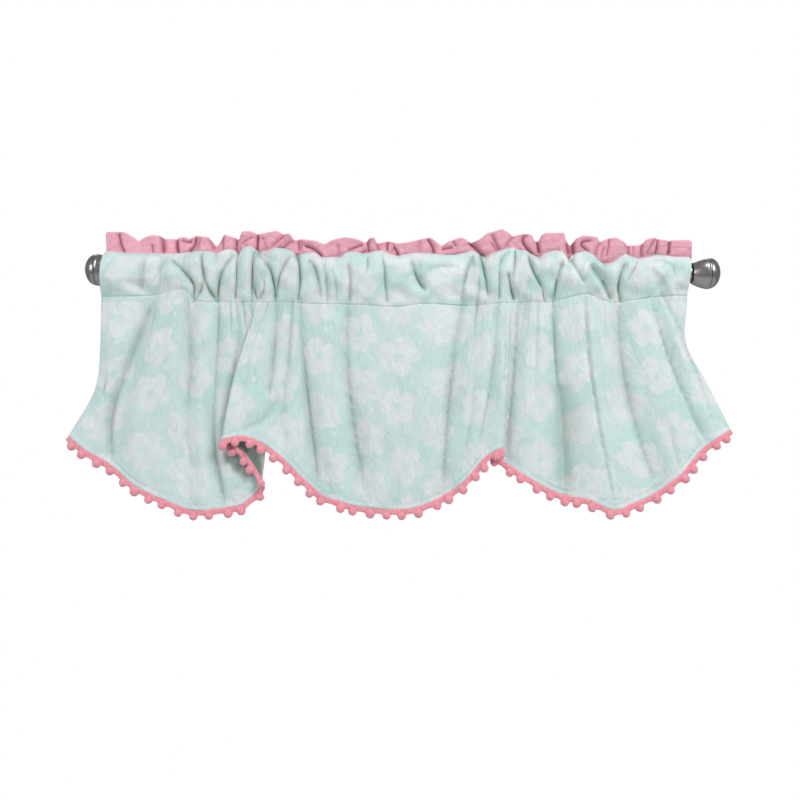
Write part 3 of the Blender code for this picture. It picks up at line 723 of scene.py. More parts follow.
def pocketPoints():
    # the section round the rod, its front pressed in by the tucks, and the turned hem at the back
    places = clothPlaces(cloth["pocketColumns"], [0.0])
    section, levels, top, crown, backEnd = pocketSide(places)
    along, pull = cutAcross(places)
    aboveSeam = lengthsAlong(section, 0)
    up, out = section[..., 2], -section[..., 1]
    inFront = np.clip(out / cloth["frontFade"], 0.0, 1.0) * (levels <= top)
    panels = {name: inFront for name in ("left", "middle", "right", "pocket")}
    depth, pressed = creaseDepth(section[..., 0], up, panels)
    puffs = softNoise(section[..., 0], up * cloth["puffStretch"], cloth["puffSize"], 17) * inFront
    depth += puffs * cloth["puffs"] * np.clip(aboveSeam / cloth["puffFrom"], 0, 1)
    depth += gatherRipple(along, -aboveSeam, pull, cloth["gatherLengthPocket"]) * inFront
    stitched = stitchLine(aboveSeam, along, pull)
    depth += stitched * cloth["seamDip"]
    near = cloth["rodRadius"] + cloth["rodClearance"]
    least = np.where(np.abs(up) < cloth["rodBand"], near, cloth["seamLeast"])
    section[..., 1] = -np.sign(out) * np.maximum(np.abs(out) - depth, np.minimum(np.abs(out), least))
    # the back is sewn to the front, so its lower end follows the grooves there
    sewn = np.clip(depth[0], 0, cloth["sewnDeep"])
    section[..., 1] += sewn * np.clip((levels - cloth["sewnFrom"]) / (1 - cloth["sewnFrom"]), 0, 1)
    hemEnd = backEnd.copy()
    hemEnd[:, 1] += cloth["backHemSpread"] + cloth["sewnHem"] * sewn
    hemEnd[:, 2] -= cloth["backHem"]
    hemRows = section[-1] + (hemEnd - section[-1]) * np.array([0.33, 0.66, 1.0])[:, None, None]
    points = np.concatenate([section, hemRows])
    # painted shade below each dip of the top edge, where the ruffle's root lies in shadow
    belowEdge = np.exp(-((crown - up) / cloth["dipShade"]) ** 2) * inFront
    dips = crownDips(section[0, :, 0]) * belowEdge
    # the stitched line's darkening, partly the thread's own tone and partly painted shade, and the painted
    # shade under the top edge's dips
    pressed += cloth["seamLineShade"] * stitched + cloth["dipPaintedShade"] * dips
    pressed = np.concatenate([np.clip(pressed, 0, 1), 0 * hemRows[..., 0]])
    # the turned hem's print starts a few millimetres on, at the fold
    down = -np.concatenate([aboveSeam, aboveSeam[-1] + lengthsAlong(hemRows, 0) + 0.003])
    uv = np.stack([np.broadcast_to(along, down.shape), down], axis=-1)
    return points, uv, pressed


plush = {
    "ground": (0.592, 0.708, 0.706, 1),
    "groundDeep": (0.505, 0.686, 0.664, 1),
    "flower": (0.684, 0.726, 0.738, 1),
    "printStrength": 0.93,
    "troughShade": (0.82, 0.83, 0.79, 1),    # painted shade: what the pile's colour is multiplied by in a soft trough
    "tuckShade": (0.60, 0.79, 0.71, 1),      # painted shade in a tight tuck
    "inShade": (0.34, 0.41, 0.36, 1),     # painted shadow under the lap, where the attribute is below zero
    "cellAcross": 0.112,        # two staggered columns of flowers a cell
    "cellDown": 0.070,
    "petals": 5,
    "petalAt": 0.0160,
    "petalRadius": 0.0105,
    "middleRadius": 0.0118,
    "dotRadius": 0.0054,        # the flower's own centre
    "dotStrength": 0.80,
    "speckRadius": 0.0031,      # small dots between flowers
    "speckEdge": 0.0008,
    "speckShare": 0.7,
    "edge": 0.0022,
    "jitter": 0.007,
    "blur": 0.0014,             # how far the pile strays over the print's edges
    "crushed": [                # where the pile is rubbed, its strokes' tone a painted sheen: across, up, half width, half height
        (-0.058, -0.230, 0.020, 0.075), (0.068, -0.165, 0.024, 0.062),
        (0.236, -0.185, 0.016, 0.030), (0.372, -0.020, 0.012, 0.022),
    ],
    "finish": {"Roughness": 0.92, "Specular IOR Level": 0.15, "Sheen Weight": 0.35,
               "Sheen Roughness": 0.45, "Sheen Tint": (0.93, 1.0, 0.98, 1)},
}

reverse = {
    "knit": (0.59, 0.67, 0.65, 1),
    "fuzz": (0.640, 0.700, 0.680, 1),
    # the lap's painted shadow, also on the reverse
    "inShade": (0.26, 0.33, 0.28, 1),
    "finish": {"Roughness": 0.95, "Specular IOR Level": 0.12, "Sheen Weight": 0.2,
               "Sheen Roughness": 0.5},
}


def cellPlace(tree, across, down, shiftAcross, shiftDown, seed):
    # the place inside one cell of the print, from the cell's middle, and the cell's own random
    # numbers
    wide, tall = plush["cellAcross"], plush["cellDown"]
    cellX = plus(tree, mathOf(tree, "DIVIDE", across, wide), shiftAcross)
    cellY = plus(tree, mathOf(tree, "DIVIDE", down, tall), shiftDown)
    cell = addNode(tree, "ShaderNodeCombineXYZ", {
        0: mathOf(tree, "FLOOR", cellX), 1: mathOf(tree, "FLOOR", cellY), 2: seed}).outputs[0]
    random = addNode(tree, "ShaderNodeTexWhiteNoise", {"Vector": cell}, noise_dimensions="3D")
    x = times(tree, minus(tree, mathOf(tree, "FRACT", cellX), 0.5), wide)
    y = times(tree, minus(tree, mathOf(tree, "FRACT", cellY), 0.5), tall)
    return x, y, random


def disc(tree, far, radius, edge):
    # 1 inside the radius, 0 outside, soft over the edge to both sides of it
    return softStep(tree, far, radius + edge, radius - edge)


def flowerMask(tree, across, down, shiftAcross, shiftDown, seed):
    # one staggered row of cells: a random turn and shift for each cell, then petals as discs
    # at equal angles, a middle disc, and a small plainer dot in the middle
    x, y, noise = cellPlace(tree, across, down, shiftAcross, shiftDown, seed)
    random = addNode(tree, "ShaderNodeSeparateColor", {0: noise.outputs["Color"]}).outputs
    x, y = [minus(tree, place, times(tree, minus(tree, random[axis], 0.5), plush["jitter"] * 2))
            for axis, place in enumerate((x, y))]
    radius = lengthOf(tree, x, y)
    petalTurn = 2 * math.pi / plush["petals"]
    angle = plus(tree, mathOf(tree, "ARCTAN2", y, x), times(tree, random[2], petalTurn))
    folded = minus(tree, mathOf(tree, "FLOORED_MODULO", angle, petalTurn), petalTurn / 2)
    petalX = minus(tree, times(tree, radius, mathOf(tree, "COSINE", folded)), plush["petalAt"])
    petalY = times(tree, radius, mathOf(tree, "SINE", folded))
    inPetal = disc(tree, lengthOf(tree, petalX, petalY), plush["petalRadius"], plush["edge"])
    inMiddle = disc(tree, radius, plush["middleRadius"], plush["edge"])
    dot = disc(tree, radius, plush["dotRadius"], plush["edge"])
    around = minus(tree, 1.0, times(tree, dot, plush["dotStrength"]))
    return times(tree, greater(tree, inPetal, inMiddle), around)


def speckMask(tree, across, down, shiftAcross, shiftDown, seed):
    # a small disc in the middle of about two cells of three
    x, y, noise = cellPlace(tree, across, down, shiftAcross, shiftDown, seed)
    there = mathOf(tree, "GREATER_THAN", noise.outputs["Value"], 1 - plush["speckShare"])
    return times(tree, disc(tree, lengthOf(tree, x, y), plush["speckRadius"], plush["speckEdge"]), there)


def crushedMask(tree):
    # soft ellipses on the hanging cloth, by the length of (x/a, y/b), the greatest of all
    mask = 0.0
    for across, up, halfWide, halfHigh in plush["crushed"]:
        turned = addNode(tree, "ShaderNodeMapping", {
            "Vector": objectPlace(tree), "Location": (-across / halfWide, 0.0, -up / halfHigh),
            "Scale": (1 / halfWide, 0.0, 1 / halfHigh)}).outputs[0]
        far = addNode(tree, "ShaderNodeVectorMath", {0: turned}, operation="LENGTH").outputs["Value"]
        mask = greater(tree, softStep(tree, far, 1.15, 0.3), mask)
    return mask


def pileBump(tree, uv, fineSize, fineDepth, clumpSize, clumpDepth, squash=0.45):
    # fine upright hairs plus clumps of them lying together, longer down the cloth than across
    grain = addNode(tree, "ShaderNodeMapping", {"Vector": uv, "Scale": (1.0, squash, 1.0)}).outputs[0]
    fine = noiseAt(tree, grain, 1 / fineSize, 3.0, Roughness=0.7).outputs[0]
    clump = noiseAt(tree, grain, 1 / clumpSize, 2.0, Distortion=1.4).outputs[0]
    bump = bumpOf(tree, fine, fineDepth, Normal=bumpOf(tree, clump, clumpDepth))
    return bump, clump, fine


def makePlush():
    material, tree = blank("mint plush")
    uv = cutPlace(tree)
    part = addNode(tree, "ShaderNodeSeparateXYZ", {0: uv}).outputs
    blur = noiseAt(tree, uv, 900.0, 1.0).outputs["Color"]
    shake = addNode(tree, "ShaderNodeSeparateColor", {0: blur}).outputs
    across, down = [plus(tree, part[axis], times(tree, minus(tree, shake[axis], 0.5), plush["blur"]))
                    for axis in (0, 1)]
    flowers = greater(tree, flowerMask(tree, across, down, 0.5, 0.5, 3.0),
                      flowerMask(tree, across, down, 0.0, 0.0, 7.0))
    specks = greater(tree, speckMask(tree, across, down, 0.36, 0.02, 11.0),
                     speckMask(tree, across, down, 0.86, 0.52, 17.0))
    printed = times(tree, greater(tree, flowers, specks), plush["printStrength"])
    bump, clump, fine = pileBump(tree, uv, 0.0009, 0.0009, 0.009, 0.0014)
    # rubbed pile lies over in slanting strokes
    rubbed = crushedMask(tree)
    strokes = addNode(tree, "ShaderNodeMapping", {"Vector": uv, "Rotation": (0, 0, 0.6),
                                                  "Scale": (1.0, 0.35, 1.0)}).outputs[0]
    swirl = noiseAt(tree, strokes, 420.0, 1.5, Distortion=2.2).outputs[0]
    lying = bumpOf(tree, times(tree, swirl, rubbed), 0.0009, Normal=bump)
    drift = noiseAt(tree, uv, 14.0, 2.0).outputs[0]
    ground = blendColour(tree, softStep(tree, drift, 0.35, 0.7), plush["ground"], plush["groundDeep"])
    colour = blendColour(tree, printed, ground, plush["flower"])
    # painted shade in soft troughs and tight tucks, and below zero the lap's painted shadow
    pressed = pressedShare(tree)
    for tint, low, high in ((plush["troughShade"], 0.0, 0.5), (plush["tuckShade"], 0.5, 1.0),
                            (plush["inShade"], 0.0, -1.0)):
        colour = blendColour(tree, softStep(tree, pressed, low, high), colour, tint, "MULTIPLY")
    clumpTone = ramp(tree, clump, 0.3, 0.7, 0.94, 1.05)
    fineTone = ramp(tree, fine, 0.25, 0.75, 0.92, 1.06)
    # the rubbed strokes' lighter and darker tone is painted sheen; the rubbing itself is wear, shown in
    # the bump
    swirlSheen = ramp(tree, times(tree, minus(tree, swirl, 0.5), rubbed), -0.2, 0.2, 0.93, 1.08)
    tone = times(tree, times(tree, clumpTone, fineTone), swirlSheen)
    grey = addNode(tree, "ShaderNodeCombineColor", {0: tone, 1: tone, 2: tone}).outputs[0]
    colour = blendColour(tree, 1.0, colour, grey, "MULTIPLY")
    coverWith(tree, {**plush["finish"], "Base Color": colour, "Normal": lying})
    return material


def makePlushBack():
    # the cloth's reverse: paler, with the knit's fine rows and the lap's painted shadow
    material, tree = blank("mint plush reverse")
    uv = cutPlace(tree)
    rows = addNode(tree, "ShaderNodeTexWave", {"Vector": uv, "Scale": 260.0, "Distortion": 0.6,
                                               "Detail": 1.0}, bands_direction="X").outputs["Fac"]
    fuzz = noiseAt(tree, uv, 900.0, 3.0).outputs[0]
    bump = bumpOf(tree, plus(tree, times(tree, rows, 0.5), fuzz), 0.0005)
    colour = blendColour(tree, softStep(tree, fuzz, 0.2, 0.8), reverse["knit"], reverse["fuzz"])
    # the lap's painted shadow, where the attribute is below zero
    shade = softStep(tree, pressedShare(tree), 0.0, -1.0)
    colour = blendColour(tree, shade, colour, reverse["inShade"], "MULTIPLY")
    coverWith(tree, {**reverse["finish"], "Base Color": colour, "Normal": bump})
    return material


def makeCloth(name, surface, materials):
    points, uv, pressed = surface
    piece = putPiece(name, gridMesh(name, points, uv, pressed=pressed), materials, "mint_plush",
                     "valance_panel")
    wall = piece.modifiers.new("wall", "SOLIDIFY")
    wall.thickness = cloth["thickness"]
    wall.offset = 0.0
    wall.use_even_offset = False
    wall.use_quality_normals = True
    wall.material_offset = 1
    return piece


# The ruffle's folded top edge: across, up from the rod's axis, out towards the room, in millimetres.
ruffleTop = [
    (-398, 49.3, 2), (-396, 51.2, 3), (-374, 51.0, 4), (-364, 45.4, 1), (-356, 39.4, -3),
    (-349, 43.7, 0), (-337, 47.1, 4), (-327, 46.4, 3), (-323, 43.3, -3), (-313, 43.1, -4),
    (-303, 43.4, -3), (-301, 44.6, 2), (-291, 44.7, 4), (-289, 42.0, 1), (-278, 46.6, 4),
    (-260, 45.0, 2), (-251, 32.9, -4), (-240, 48.9, 4), (-223, 43.8, 2), (-220, 41.4, -3),
    (-216, 52.8, 3), (-205, 53.1, 4), (-196, 49.6, 0), (-188, 50.4, 3), (-169, 53.7, 4),
    (-161, 49.6, 2), (-151, 50.3, 4), (-146, 41.8, -3), (-136, 43.1, 3), (-118, 41.3, 2),
    (-105, 37.0, -3), (-93, 42.8, 2), (-77, 45.7, 4), (-66, 44.3, 4), (-50, 39.0, -1), (-46, 44.4, 2),
    (-38, 45.9, 4), (-34, 38.2, -2), (-21, 40.9, 3), (-6, 38.3, 0), (7, 39.6, 2), (23, 44.0, 3),
    (34, 45.9, 4), (39, 45.5, 2), (51, 35.8, -4), (63, 41.4, 1), (76, 46.0, 4), (82, 45.5, 3),
    (93, 40.5, -3), (103, 44.4, 2), (112, 51.6, 4), (133, 57.7, 4), (142, 52.8, 3), (149, 48.6, -1),
    (163, 51.9, 4), (173, 50.8, 2), (178, 43.3, -3), (184, 42.3, -3), (186, 50.4, 2), (191, 52.7, 4),
    (215, 53.2, 4), (218, 45.8, 1), (227, 36.6, -4), (233, 46.3, 2), (241, 49.6, 4), (261, 48.0, 4),
    (266, 41.4, -1), (277, 46.2, 2), (286, 47.2, 4), (299, 40.9, 1), (303, 37.6, -3), (320, 38.3, -2),
    (326, 45.4, 2), (336, 47.4, 4), (343, 45.4, 3), (359, 43.4, 2), (364, 44.2, 3), (384, 44.5, 3),
    (388, 42.6, 1),
]

# Its creases: high, middle and low point (across, up), depth, half width left and right.
ruffleCreases = [
    ((-380, 49.6), (-378, 36.6), (-373, 23.7), 3, 4, 1.5),
    ((-336, 34.1), (-336, 28.7), (-335, 23.3), 2, 2, 2),
    ((-326, 45.6), (-325, 35.5), (-323, 23.4), 4, 1.2, 3),
    ((-302, 44.0), (-302, 34.3), (-301, 23.5), 4, 3, 1.2),
    ((-296, 40.4), (-290, 37.7), (-284, 39.1), 2.2, 2, 2),
    ((-279, 43.8), (-281, 33.0), (-287, 25.0), 3.5, 1.5, 3),
    ((-272, 44.1), (-274, 35.8), (-277, 26.4), 1.8, 2, 2),
    ((-259, 42.6), (-257, 35.9), (-254, 27.8), 2.2, 2, 2),
    ((-241, 46.7), (-242, 37.3), (-242, 27.9), 2, 2.5, 2),
    ((-223, 44.4), (-223, 34.7), (-224, 24.0), 4, 2, 1.5),
    ((-216, 34.7), (-210, 40.2), (-202, 44.5), 1.8, 2, 2),
    ((-196, 48.3), (-196, 37.5), (-197, 26.8), 4, 1.5, 2),
    ((-187, 44.3), (-186, 36.3), (-184, 28.2), 1.6, 3, 3),
    ((-156, 49.5), (-165, 41.7), (-176, 32.3), 2, 1.8, 1.8),
    ((-151, 48.1), (-161, 39.7), (-172, 29.1), -1.8, 2, 2),
    ((-147, 40.5), (-156, 34.4), (-165, 27.0), 2.4, 1.8, 1.8),
    ((-140, 39.9), (-140, 33.8), (-140, 27.1), 2.2, 1.4, 1.4),
    ((-136, 39.9), (-136, 33.8), (-137, 27.1), 1.8, 1.4, 1.4),
    ((-132, 33.2), (-119, 29.1), (-109, 18.8), 3.8, 2, 2.4),
    ((-87, 35.4), (-87, 28.7), (-86, 20.7), 1.5, 3, 3),
    ((-55, 35.4), (-64, 31.5), (-73, 27.5), 2.6, 2, 2),
    ((-49, 28.9), (-54, 25.5), (-58, 22.2), 2.2, 1.6, 1.6),
    ((-47, 43.1), (-47, 34.3), (-46, 25.6), 3.2, 1.5, 2.5),
    ((-35, 38.4), (-34, 32.4), (-33, 26.3), 1.8, 2, 2),
    ((-20, 40.1), (-21, 34.5), (-21, 27.7), 3.2, 1.5, 1.5),
    ((-13, 38.5), (-13, 33.2), (-14, 26.4), 1.8, 1.4, 1.4),
    ((-12, 33.2), (-9, 28.5), (-6, 22.5), 3.6, 1.4, 1.4),
    ((20, 41.4), (21, 34.7), (22, 26.6), 1.3, 4, 3), ((30, 44.8), (38, 34.8), (41, 24.0), 3.8, 2, 3),
    ((52, 30.2), (59, 31.4), (67, 32.3), 2.4, 1.8, 1.8),
    ((67, 41.0), (69, 37.6), (71, 33.9), 2.2, 1.5, 1.5),
    ((89, 39.1), (100, 29.7), (108, 19.0), 4.2, 2, 3),
    ((119, 50.0), (124, 39.3), (130, 28.6), 2.4, 2.5, 2),
    ((118, 39.3), (122, 33.9), (126, 27.2), 2, 1.6, 1.6),
    ((149, 48.8), (144, 42.1), (138, 34.7), 2.2, 2, 2),
    ((167, 50.5), (161, 39.5), (178, 20.1), 4, 1.5, 3),
    ((182, 41.6), (183, 34.2), (184, 26.2), 3.8, 2, 1.2),
    ((219, 43.8), (220, 35.8), (222, 25.0), 3.8, 1.2, 4),
    ((230, 39.9), (230, 33.1), (230, 25.1), 3.8, 4, 1.2),
    ((253, 42.0), (239, 38.6), (249, 29.2), 3, 1.8, 1.8),
    ((265, 40.0), (261, 32.0), (258, 22.5), 2.6, 2, 2),
    ((272, 34.7), (269, 28.0), (267, 19.9), 1.8, 1.2, 1.2),
    ((278, 44.8), (277, 33.4), (274, 21.3), 2.2, 1.6, 1.4),
    ((303, 37.6), (304, 30.8), (304, 21.4), 2.6, 3, 1.5),
    ((310, 35.6), (310, 29.5), (309, 21.5), 1.6, 1.4, 1.4),
    ((321, 38.3), (321, 30.9), (321, 21.5), 2.6, 2.5, 1.4),
    ((337, 45.1), (332, 35.0), (327, 24.3), 2.2, 1.5, 1.5),
    ((341, 46.5), (340, 36.4), (339, 24.3), 3.2, 1.4, 2.5),
    ((359, 43.2), (358, 33.8), (357, 24.4), 3.8, 3, 1.4),
]

ruffle = {
    "cornerRound": 0.0012,      # how softly the top edge turns its corners
    "outWorth": 1.25,           # what the table's outs are multiplied by
    "rootOut": 0.35,            # share of the folds' depth that is left where the ruffle is sewn in
    "halfThickness": 0.0014,
    "topHalfThickness": 0.0020,
    "foldNeck": 0.93,           # the layers draw in a little under the rounded fold
    "rootSink": 0.0015,         # the root goes this far into the cloth's top seam
    "behind": 0.0022,           # the ruffle stands this far behind the top edge's crest
    "creaseWorth": 1.6,
    "creaseShadeFull": 5.0,          # worth times depth at which a crease's painted shade is full
    "wrinkles": 0.0005,
    "wrinkleSize": 0.011,
    "sway": 0.0012,             # how far the upper edge strays to either side
    "swaySize": 0.030,
    "rootShade": 0.006,         # how far above its root the painted shade reaches where the cloth's edge dips
    "columns": 1180,
    "sideRows": 24,
    "topRows": 4,
    "pileDeep": (0.850, 0.425, 0.510, 1),
    "pilePale": (0.940, 0.520, 0.605, 1),
    "betweenHairs": (0.80, 0.37, 0.46, 1),
    "creaseShadeTint": (0.60, 0.38, 0.45, 1),    # painted shade: what the colour is multiplied by in a crease
    "creaseShadeAtMost": 0.9,
    "finish": {"Roughness": 0.9, "Specular IOR Level": 0.15, "Sheen Weight": 0.5,
               "Sheen Roughness": 0.4, "Sheen Tint": (1.0, 0.90, 0.93, 1)},
}


def rufflePoints():
    # a doubled strip in section: up the front, round over the fold at the top, down the back;
    # y = -(top edge's out * (root share .. 1)) + creases, the two layers a thickness apart
    along = np.linspace(ruffleTop[0][0] * mm, ruffleTop[-1][0] * mm, ruffle["columns"])
    sides = np.linspace(0.0, 1.0, ruffle["sideRows"])
    turn = np.linspace(0.0, math.pi, ruffle["topRows"] + 2)[1:-1]
    share = np.concatenate([sides, np.ones(len(turn)), sides[::-1]])[:, None]
    thin, thick = ruffle["halfThickness"], ruffle["topHalfThickness"]
    swell = thin + (thick - thin) * sides ** 3
    swell[-1] = swell[-1] * ruffle["foldNeck"]
    half = np.concatenate([swell, thick * np.cos(turn), -swell[::-1]])[:, None]
    cap = np.concatenate([0 * sides, thick * np.sin(turn), 0 * sides])[:, None]
    across = along + 0 * share
    root = softCorners(crownLine, 1, along, cloth["cornerRound"]) - ruffle["rootSink"]
    top = softCorners(ruffleTop, 1, along, ruffle["cornerRound"]) - thick
    up = root + (top - root) * share
    creased, pressed = np.zeros(across.shape), np.zeros(across.shape)
    for high, middle, low, depth, left, right in ruffleCreases:
        near, t, distance = nearLine(across, up, (high, middle, low), left, right)
        line = np.exp(-distance ** 1.25) * endFade(t) * ruffle["creaseWorth"]
        creased[near] += np.sign(depth) * (abs(depth) * mm * line) ** 2
        pressed[near] += np.maximum(depth, 0) * line
    creased = np.sign(creased) * np.sqrt(np.abs(creased))
    out = softCorners(ruffleTop, 2, along, ruffle["cornerRound"]) * ruffle["outWorth"]
    out = out * (ruffle["rootOut"] + (1 - ruffle["rootOut"]) * share) - ruffle["behind"]
    wrinkles = softNoise(across, up * 0.7, ruffle["wrinkleSize"], 21) * ruffle["wrinkles"]
    wrinkles = wrinkles * np.sin(math.pi * share * 0.9)
    x = across + softNoise(across, up * 0.3, ruffle["swaySize"], 8) * ruffle["sway"] * share
    points = np.stack([x, -out - half + creased + wrinkles, up + cap], axis=-1)
    uv = np.stack([lengthsAlong(points, 1), lengthsAlong(points, 0)], axis=-1)
    # painted shade in the creases, and at the root under the dips of the cloth's top edge
    aboveEdge = up - root - ruffle["rootSink"]
    shaded = crownDips(along) * np.exp(-(aboveEdge / ruffle["rootShade"]) ** 2)
    return points, uv, np.clip(pressed / ruffle["creaseShadeFull"] + shaded, 0, 1)


def makeVelour():
    material, tree = blank("pink velour")
    bump, clump, fine = pileBump(tree, cutPlace(tree), 0.0008, 0.0008, 0.006, 0.0010, 0.7)
    colour = blendColour(tree, softStep(tree, clump, 0.3, 0.7), ruffle["pileDeep"], ruffle["pilePale"])
    colour = blendColour(tree, softStep(tree, fine, 0.2, 0.8), ruffle["betweenHairs"], colour)
    # painted shade in the creases and at the root
    share = times(tree, pressedShare(tree), ruffle["creaseShadeAtMost"])
    colour = blendColour(tree, share, colour, ruffle["creaseShadeTint"], "MULTIPLY")
    coverWith(tree, {**ruffle["finish"], "Base Color": colour, "Normal": bump})
    return material


trim = {
    "width": 0.0080,
    "thickness": 0.0046,
    "squareness": 0.8,          # 1 is a round section, less is a squarer one
    "knit": 0.00022,
    "knitSize": 0.004,
    "tuckedIn": 0.0010,         # the tape's upper edge goes this far behind the cloth's hem
    "evensOver": 0.018,         # a tape can't fold into a corner, so its slope is evened out
    "stations": 760,
    "sectionPoints": 16,
    "ballPitch": 0.021,
    "ballRadius": 0.0058,
    "ballRadiusStray": 0.07,
    "ballHang": 0.0080,
    "ballHangStray": (-0.0005, 0.0007),
    "ballForward": 0.0008,
    "ballSide": 0.0011,
    "ballSag": 0.0028,          # the tape's lower edge reaches down to each ball
    "ballSagHalf": 0.0055,
    "ballStray": 0.0030,        # how far a ball may sit off its even place along the tape
    "ballFlat": 0.96,
    "ballLong": 1.03,
    "ballRounds": 17,
    "ballAround": 24,
    "bigLumps": 0.045,          # shares of the radius
    "smallLumps": 0.030,
    "yarnDeep": (0.920, 0.255, 0.325, 1),
    "yarnPale": (1.000, 0.570, 0.630, 1),
    "finish": {"Roughness": 0.92, "Specular IOR Level": 0.12, "Sheen Weight": 0.45,
               "Sheen Roughness": 0.5, "Sheen Tint": (1.0, 0.80, 0.83, 1)},
}


def hemFrame(places):
    # along the hem: its points, its running length, and the way that the tape hangs, square
    # to the evened-out slope in the cloth's own plane
    above, hem = frontPoints(places, np.array([0.98, 1.0]))
    hanging = unit(hem - above)
    run = lengthsAlong(hem, 0)
    along = np.gradient(hem, run, axis=0)
    level = unit(along * (1.0, 1.0, 0.0))
    slope = np.arctan2(along[:, 2], np.linalg.norm(along[:, :2], axis=1))
    near = np.exp(-((run[:, None] - run[None, :]) / trim["evensOver"]) ** 2) * np.gradient(run)
    slope = (near @ slope / near.sum(axis=1))[:, None]
    down = unit(hanging - level * np.sum(hanging * level, axis=1, keepdims=True))
    return hem, run, down * np.cos(slope) + level * np.sin(slope)


def ballPlaces(run):
    count = round(run[-1] / trim["ballPitch"])
    stray = np.random.default_rng(6).uniform(-1, 1, count) * trim["ballStray"]
    return (np.arange(count) + 0.5) * run[-1] / count + stray


def tapePoints():
    # a flattened round section carried along the hem, drawn down a little at each ball
    hem, run, down = hemFrame(clothPlaces(trim["stations"], [0.5, 1.0]))
    along = unit(np.gradient(hem, run, axis=0))
    face = unit(np.cross(down, along))
    near = np.abs(run[:, None] - ballPlaces(run)[None, :]).min(axis=1)
    sag = trim["ballSag"] * np.exp(-(near / trim["ballSagHalf"]) ** 2)
    angles = np.linspace(0, 2 * math.pi, trim["sectionPoints"], endpoint=False)
    across, out = [(np.sign(wave) * np.abs(wave) ** trim["squareness"])[:, None]
                   for wave in (np.cos(angles), np.sin(angles))]
    middle = hem + down * (trim["width"] / 2 - trim["tuckedIn"])
    reach = across * trim["width"] / 2 + np.clip(across, 0, 1) * sag
    points = middle + down * reach[..., None] + face * (out[..., None] * trim["thickness"] / 2)
    knit = softNoise(run, angles[:, None] * 0.004, trim["knitSize"], 31) * trim["knit"]
    points = points + face * (out * knit)[..., None]
    uv = np.stack([np.broadcast_to(run, reach.shape), reach + angles[:, None] * 0.001], axis=-1)
    return points, uv


def roundBall(rounds, around):
    # a unit ball's points, pole to pole, and its faces: quads between rounds, triangles at the poles
    tilt = np.linspace(0, math.pi, rounds)[1:-1]
    turn = np.linspace(0, 2 * math.pi, around, endpoint=False)
    rows = np.stack([np.outer(np.sin(tilt), np.cos(turn)), np.outer(np.sin(tilt), np.sin(turn)),
                     np.outer(np.cos(tilt), np.ones(around))], axis=-1).reshape(-1, 3)
    ball = np.concatenate([[[0.0, 0.0, 1.0]], rows, [[0.0, 0.0, -1.0]]])
    grid = 1 + np.arange(len(rows)).reshape(len(tilt), around)
    beside = np.roll(grid, -1, axis=1)
    quads = np.stack([grid[:-1], grid[1:], beside[1:], beside[:-1]], axis=-1).reshape(-1, 4)
    top = np.stack([np.zeros(around, int), grid[0], beside[0]], axis=-1)
    bottom = np.stack([np.full(around, len(ball) - 1), beside[-1], grid[-1]], axis=-1)
    return ball, quads, top, bottom


def ballMesh(name):
    # each pompom is a round of cut yarn: a sphere pushed in and out by noise, a little longer
    # than wide, hanging from the tape's lower edge
    hem, run, down = hemFrame(clothPlaces(trim["stations"], [0.5, 1.0]))
    along = unit(np.gradient(hem, run, axis=0))
    face = unit(np.cross(down, along))
    stops = ballPlaces(run)
    rng = np.random.default_rng(12)
    count = len(stops)

    def at(field):
        return np.stack([np.interp(stops, run, field[:, axis]) for axis in range(3)], axis=-1)

    centre = at(hem + down * trim["ballHang"])
    hang, side, front = unit(at(down)), unit(at(along)), unit(at(face))
    centre = centre + hang * rng.uniform(*trim["ballHangStray"], (count, 1))
    centre = centre + side * rng.uniform(-trim["ballSide"], trim["ballSide"], (count, 1))
    centre = centre + np.array([0.0, -1.0, 0.0]) * trim["ballForward"]
    stray = trim["ballRadiusStray"]
    sizes = trim["ballRadius"] * rng.uniform(1 - stray, 1 + stray, count)
    ball, quads, top, bottom = roundBall(trim["ballRounds"], trim["ballAround"])
    x, y, z = ball.T
    phase = rng.uniform(0, 10, (count, 1))
    lumps = (softNoise(x * 3 + phase, y * 3 + z * 2.3, 1.9, 3) * trim["bigLumps"]
             + softNoise(z * 7 + phase, x * 6 - y * 7, 2.0, 4) * trim["smallLumps"])
    reach = (1 + lumps) * sizes[:, None]
    points = (centre[:, None]
              + side[:, None] * (x * reach)[..., None]
              + front[:, None] * (y * reach * trim["ballFlat"])[..., None]
              + hang[:, None] * (-z * reach * trim["ballLong"])[..., None])
    shift = np.arange(count)[:, None, None] * len(ball)
    faces = [(corners + shift).reshape(-1, corners.shape[1]).tolist() for corners in (quads, top, bottom)]
    mesh = bpy.data.meshes.new(name)
    mesh.from_pydata(points.reshape(-1, 3).tolist(), [], faces[0] + faces[1] + faces[2])
    mesh.update()
    mesh.shade_smooth()
    return mesh


def makeYarn(name, placeOf):
    # cut yarn ends: fine fuzz with a small hollow round each tuft
    material, tree = blank(name)
    place = placeOf(tree)
    fine = noiseAt(tree, place, 1500.0, 3.0, Roughness=0.7).outputs[0]
    tuft = addNode(tree, "ShaderNodeTexVoronoi", {"Vector": place, "Scale": 900.0})
    height = minus(tree, fine, times(tree, tuft.outputs["Distance"], 0.7))
    colour = blendColour(tree, softStep(tree, height, -0.06, 0.50), trim["yarnDeep"], trim["yarnPale"])
    coverWith(tree, {**trim["finish"], "Base Color": colour, "Normal": bumpOf(tree, height, 0.0011)})
    return material


